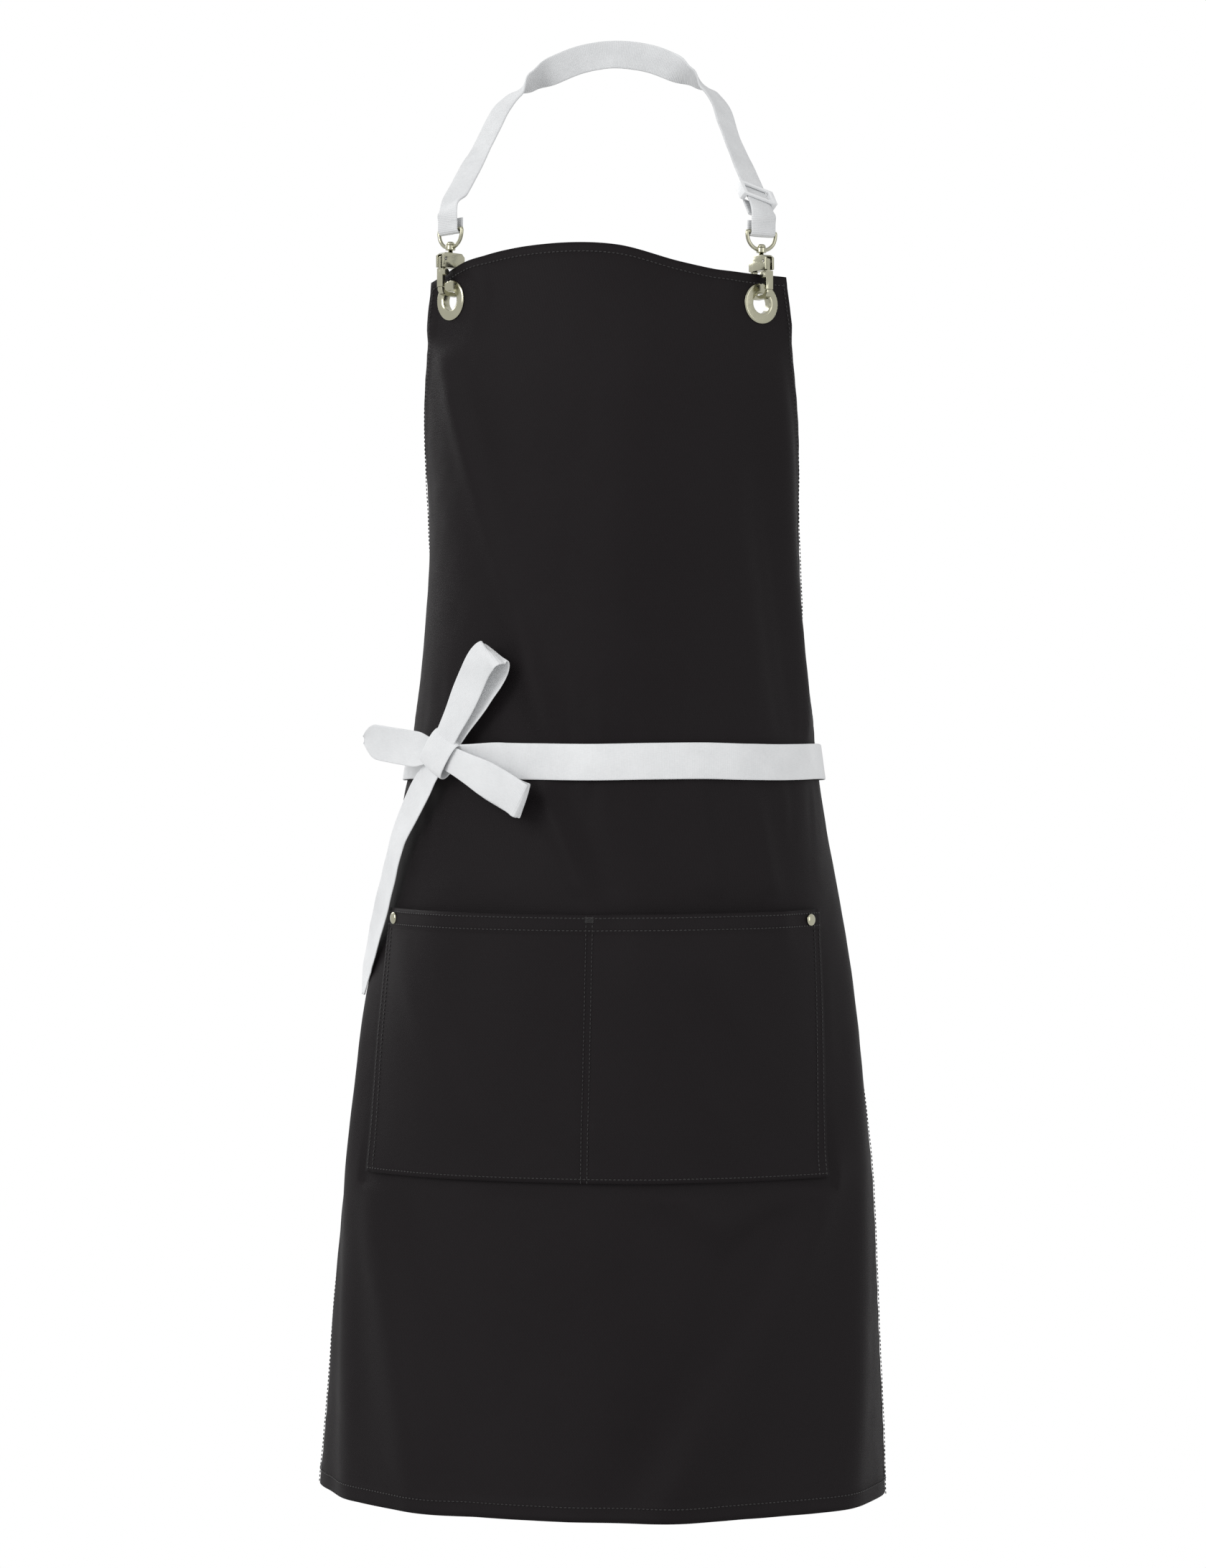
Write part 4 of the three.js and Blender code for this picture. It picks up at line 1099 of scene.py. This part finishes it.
def rounded(profile, radius=0.28, parts=4):
    """Every corner of a closed profile cut to an arc."""
    out = []
    count = len(profile)
    for k in range(count):
        before, here, after = (Vector(profile[(k + n) % count]) for n in (-1, 0, 1))
        cut = min(radius, (before - here).length * 0.45, (after - here).length * 0.45)
        a, b = here + (before - here).normalized() * cut, here + (after - here).normalized() * cut
        for n in range(parts + 1):
            t = n / parts
            out.append(tuple((1 - t)**2 * a + 2 * t * (1 - t) * here + t * t * b))
    return out


EYELET = rounded([(7, -4.95), (10, -4.95), (10, -4.15), (8.2, -4.15), (8.2, 0.35), (14, 0.35),
                  (14, 0.75), (13, 1.35), (8.5, 1.55), (7, 0.95)])
WASHER = rounded([(8.55, -3.8), (13, -3.8), (13, -3.0), (8.55, -3.0)])
for side, place in CLASP.items():
    turned(f"eyelet_{side}", EYELET, place, "apron", NICKEL, f"grommet_{side}")
    turned(f"eyelet_washer_{side}", WASHER, place, "apron", NICKEL, f"grommet_washer_{side}")
print("eyelet corners", len(EYELET), "washer corners", len(WASHER))

# %% rivets and posts
CAP_UNDER, CAP_R, CAP_RIM, CAP_RISE = 5.2, 4.25, 0.35, 1.75
PLATE = rounded([(0, -4.25), (CAP_R, -4.25), (CAP_R, -3.25), (0, -3.25)])
POST = [(0, 28.4), (1.6, 28.4), (1.6, 38.95), (3, 38.95), (3, 39.4), (2.85, 40.0), (2.4, 40.7),
        (1.6, 41.15), (0, 41.35)]
SHANK = [(0, -2.9), (1.5, -2.9), (1.5, CAP_UNDER), (CAP_R, CAP_UNDER), (CAP_R, CAP_UNDER + CAP_RIM)]
dome = [(CAP_R * math.cos(a), CAP_UNDER + CAP_RIM + CAP_RISE * math.sin(a))
        for a in np.linspace(0.15, math.pi / 2, 12)]
CAP = SHANK + dome[:-1] + [(0, CAP_UNDER + CAP_RIM + CAP_RISE)]
for side, place in CLASP.items():
    seat = clasp_matrix(rivets[side])
    turned(f"rivet_dome_{side}", CAP, seat, "apron", NICKEL, f"pocket_rivet_cap_{side}", steps=48)
    turned(f"rivet_plate_{side}", PLATE, seat, "apron", NICKEL, f"pocket_rivet_back_{side}", steps=48)
    upright = place @ Matrix.Translation((0, -POST_SIDE, 0)) @ Matrix.Rotation(-math.pi / 2, 4, "X")
    turned(f"swivel_pin_{side}", POST, upright, f"hook_{side}", NICKEL, f"swivel_post_{side}", steps=40)
print("rivet cap across", 2 * CAP_R)

# %% [markdown]
# ## Rings
# A D ring is a bent wire with a straight bar for the webbing and an eye that turns on the hook's post.
# A curve with a bevel could make the wire, but the eye has to join it in one mesh, so both are built
# from points and their faces are turned outwards together.

# %% rings
def wire(name, path, radius, sides=14):
    """A round wire along a closed loop of points, in millimetres."""
    points, faces = [], []
    count = len(path)
    axis = (path[1] - path[0]).cross(path[count // 3] - path[0]).normalized()
    for k, place in enumerate(path):
        along = (path[(k + 1) % count] - path[k - 1]).normalized()
        side = along.cross(axis).normalized()
        for n in range(sides):
            a = 2 * math.pi * n / sides
            points.append((place + side * (radius * math.cos(a)) + axis * (radius * math.sin(a))) * MM)
    for k in range(count):
        on = (k + 1) % count
        for n in range(sides):
            beside = (n + 1) % sides
            faces.append((k * sides + n, k * sides + beside, on * sides + beside, on * sides + n))
    obj = mesh_object(name, points, faces)
    outward(obj)
    return obj


RING_HALF, RING_DROP = 11.9, 12.6
HUB = rounded([(1.9, 35.2), (3.5, 35.2), (3.5, 38.6), (1.9, 38.6)], 0.4)  # the ring's eye on the post
HUB_STEPS = 40


def ring_path(matrix):
    """A half round of wire closed by a straight bar, which the webbing goes round."""
    curve = [Vector((-RING_HALF * math.cos(t), -POST_SIDE, BAR_Z - RING_DROP * math.sin(t) ** 0.8))
             for t in np.linspace(0.03, math.pi - 0.03, 56)]
    bar = [Vector((11.7 - 0.6 * k, -POST_SIDE, BAR_Z + 0.1)) for k in range(40)]
    return [matrix @ p for p in curve + bar]


def add_hub(work, matrix):
    rows = []
    for r, h in HUB:
        turns = [2 * math.pi * k / HUB_STEPS for k in range(HUB_STEPS)]
        places = [Vector((r * math.cos(a), -POST_SIDE + r * math.sin(a), h)) for a in turns]
        rows.append([work.verts.new((matrix @ p) * MM) for p in places])
    for row, after in zip(rows, rows[1:] + rows[:1]):
        for k in range(HUB_STEPS):
            on = (k + 1) % HUB_STEPS
            work.faces.new((row[k], row[on], after[on], after[k])).smooth = True


for side, place in CLASP.items():
    ring = wire(f"ring_wire_{side}", ring_path(place), WIRE_R)
    work = bmesh.new()
    work.from_mesh(ring.data)
    add_hub(work, place)
    work.to_mesh(ring.data)
    work.free()
    outward(ring)
    ring.data.materials.append(NICKEL)
    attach(ring, "hanger")
    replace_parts(ring, f"d_ring_{side}")
print("ring faces", len(ring.data.polygons))

# %% [markdown]
# ## Hooks, levers and the slider
# These are cast or moulded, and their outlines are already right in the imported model. Building them
# again would only bring new mistakes, so they keep that shape: the loose triangles are merged, flat
# faces are joined, and a bevel rounds the sharp edges by a fraction of a millimetre, which is what
# catches the light.

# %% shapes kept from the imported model, with rounded edges
def refined(name, node_name, body_name, finish, edge, angle=28):
    """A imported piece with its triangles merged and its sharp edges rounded."""
    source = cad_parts[node_name]
    mesh = source.data.copy()
    mesh.transform(source.matrix_world)
    obj = bpy.data.objects.new(name, mesh)
    bpy.context.scene.collection.objects.link(obj)
    work = bmesh.new()
    work.from_mesh(mesh)
    bmesh.ops.remove_doubles(work, verts=work.verts, dist=1e-5)
    bmesh.ops.dissolve_limit(work, angle_limit=math.radians(1), verts=work.verts, edges=work.edges)
    work.to_mesh(mesh)
    work.free()
    mesh.materials.clear()
    mesh.materials.append(finish)
    bevel = obj.modifiers.new("edges", "BEVEL")
    bevel.width = edge * MM
    bevel.segments = 3
    bevel.limit_method = "ANGLE"
    bevel.angle_limit = math.radians(angle)
    obj = plain(obj)
    obj.data.polygons.foreach_set("use_smooth", [True] * len(obj.data.polygons))
    obj.data.set_sharp_from_angle(angle=math.radians(32))
    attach(obj, body_name)
    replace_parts(obj, node_name)
    return obj


for side in CLASP:
    refined(f"snap_hook_{side}", f"hook_body_{side}", f"hook_{side}", NICKEL, 0.3)
    refined(f"snap_gate_{side}", f"gate_lever_{side}", f"gate_{side}", NICKEL, 0.25)
    refined(f"snap_pin_{side}", f"gate_pin_{side}", f"hook_{side}", DARK_NICKEL, 0.12)
    refined(f"snap_spring_{side}", f"gate_spring_{side}", f"hook_{side}", DARK_NICKEL, 0.02, 80)
slider = refined("strap_slider", "tri_glide", "adjuster", PLASTIC, 0.55)
print("slider faces", len(slider.data.polygons))

# %% [markdown]
# ## The webbing that comes back
# Past the slider the webbing's free layer lies under the strap for a short way. It belongs to the
# slider, which slides along the strap, so it is a short straight ribbon in the slider's own frame.

# %% webbing that comes back through the slider
RETURN_START, RETURN_END, RETURN_DEPTH = -20, -4.4, -4.7  # in the slider's own frame
GLIDE = Matrix(((0.7526, -0.3077, 0.5821), (0.6181, 0.6350, -0.4634), (-0.2271, 0.7086, 0.6681)))
GLIDE_AT = Vector((110.106, -84.682, -117.205))
back_places = np.linspace(RETURN_START, RETURN_END, 12)
back_path = [GLIDE_AT + GLIDE @ Vector((0, y, RETURN_DEPTH)) for y in back_places]
back_normals = [GLIDE @ UP] * len(back_path)
back_run, run = ribbon("webbing_return", back_path, back_normals, WEBBING_W, WEBBING_THICK, WEBBING)
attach(back_run, "adjuster")
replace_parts(back_run, "strap_return")
print("webbing return", round(run, 1))
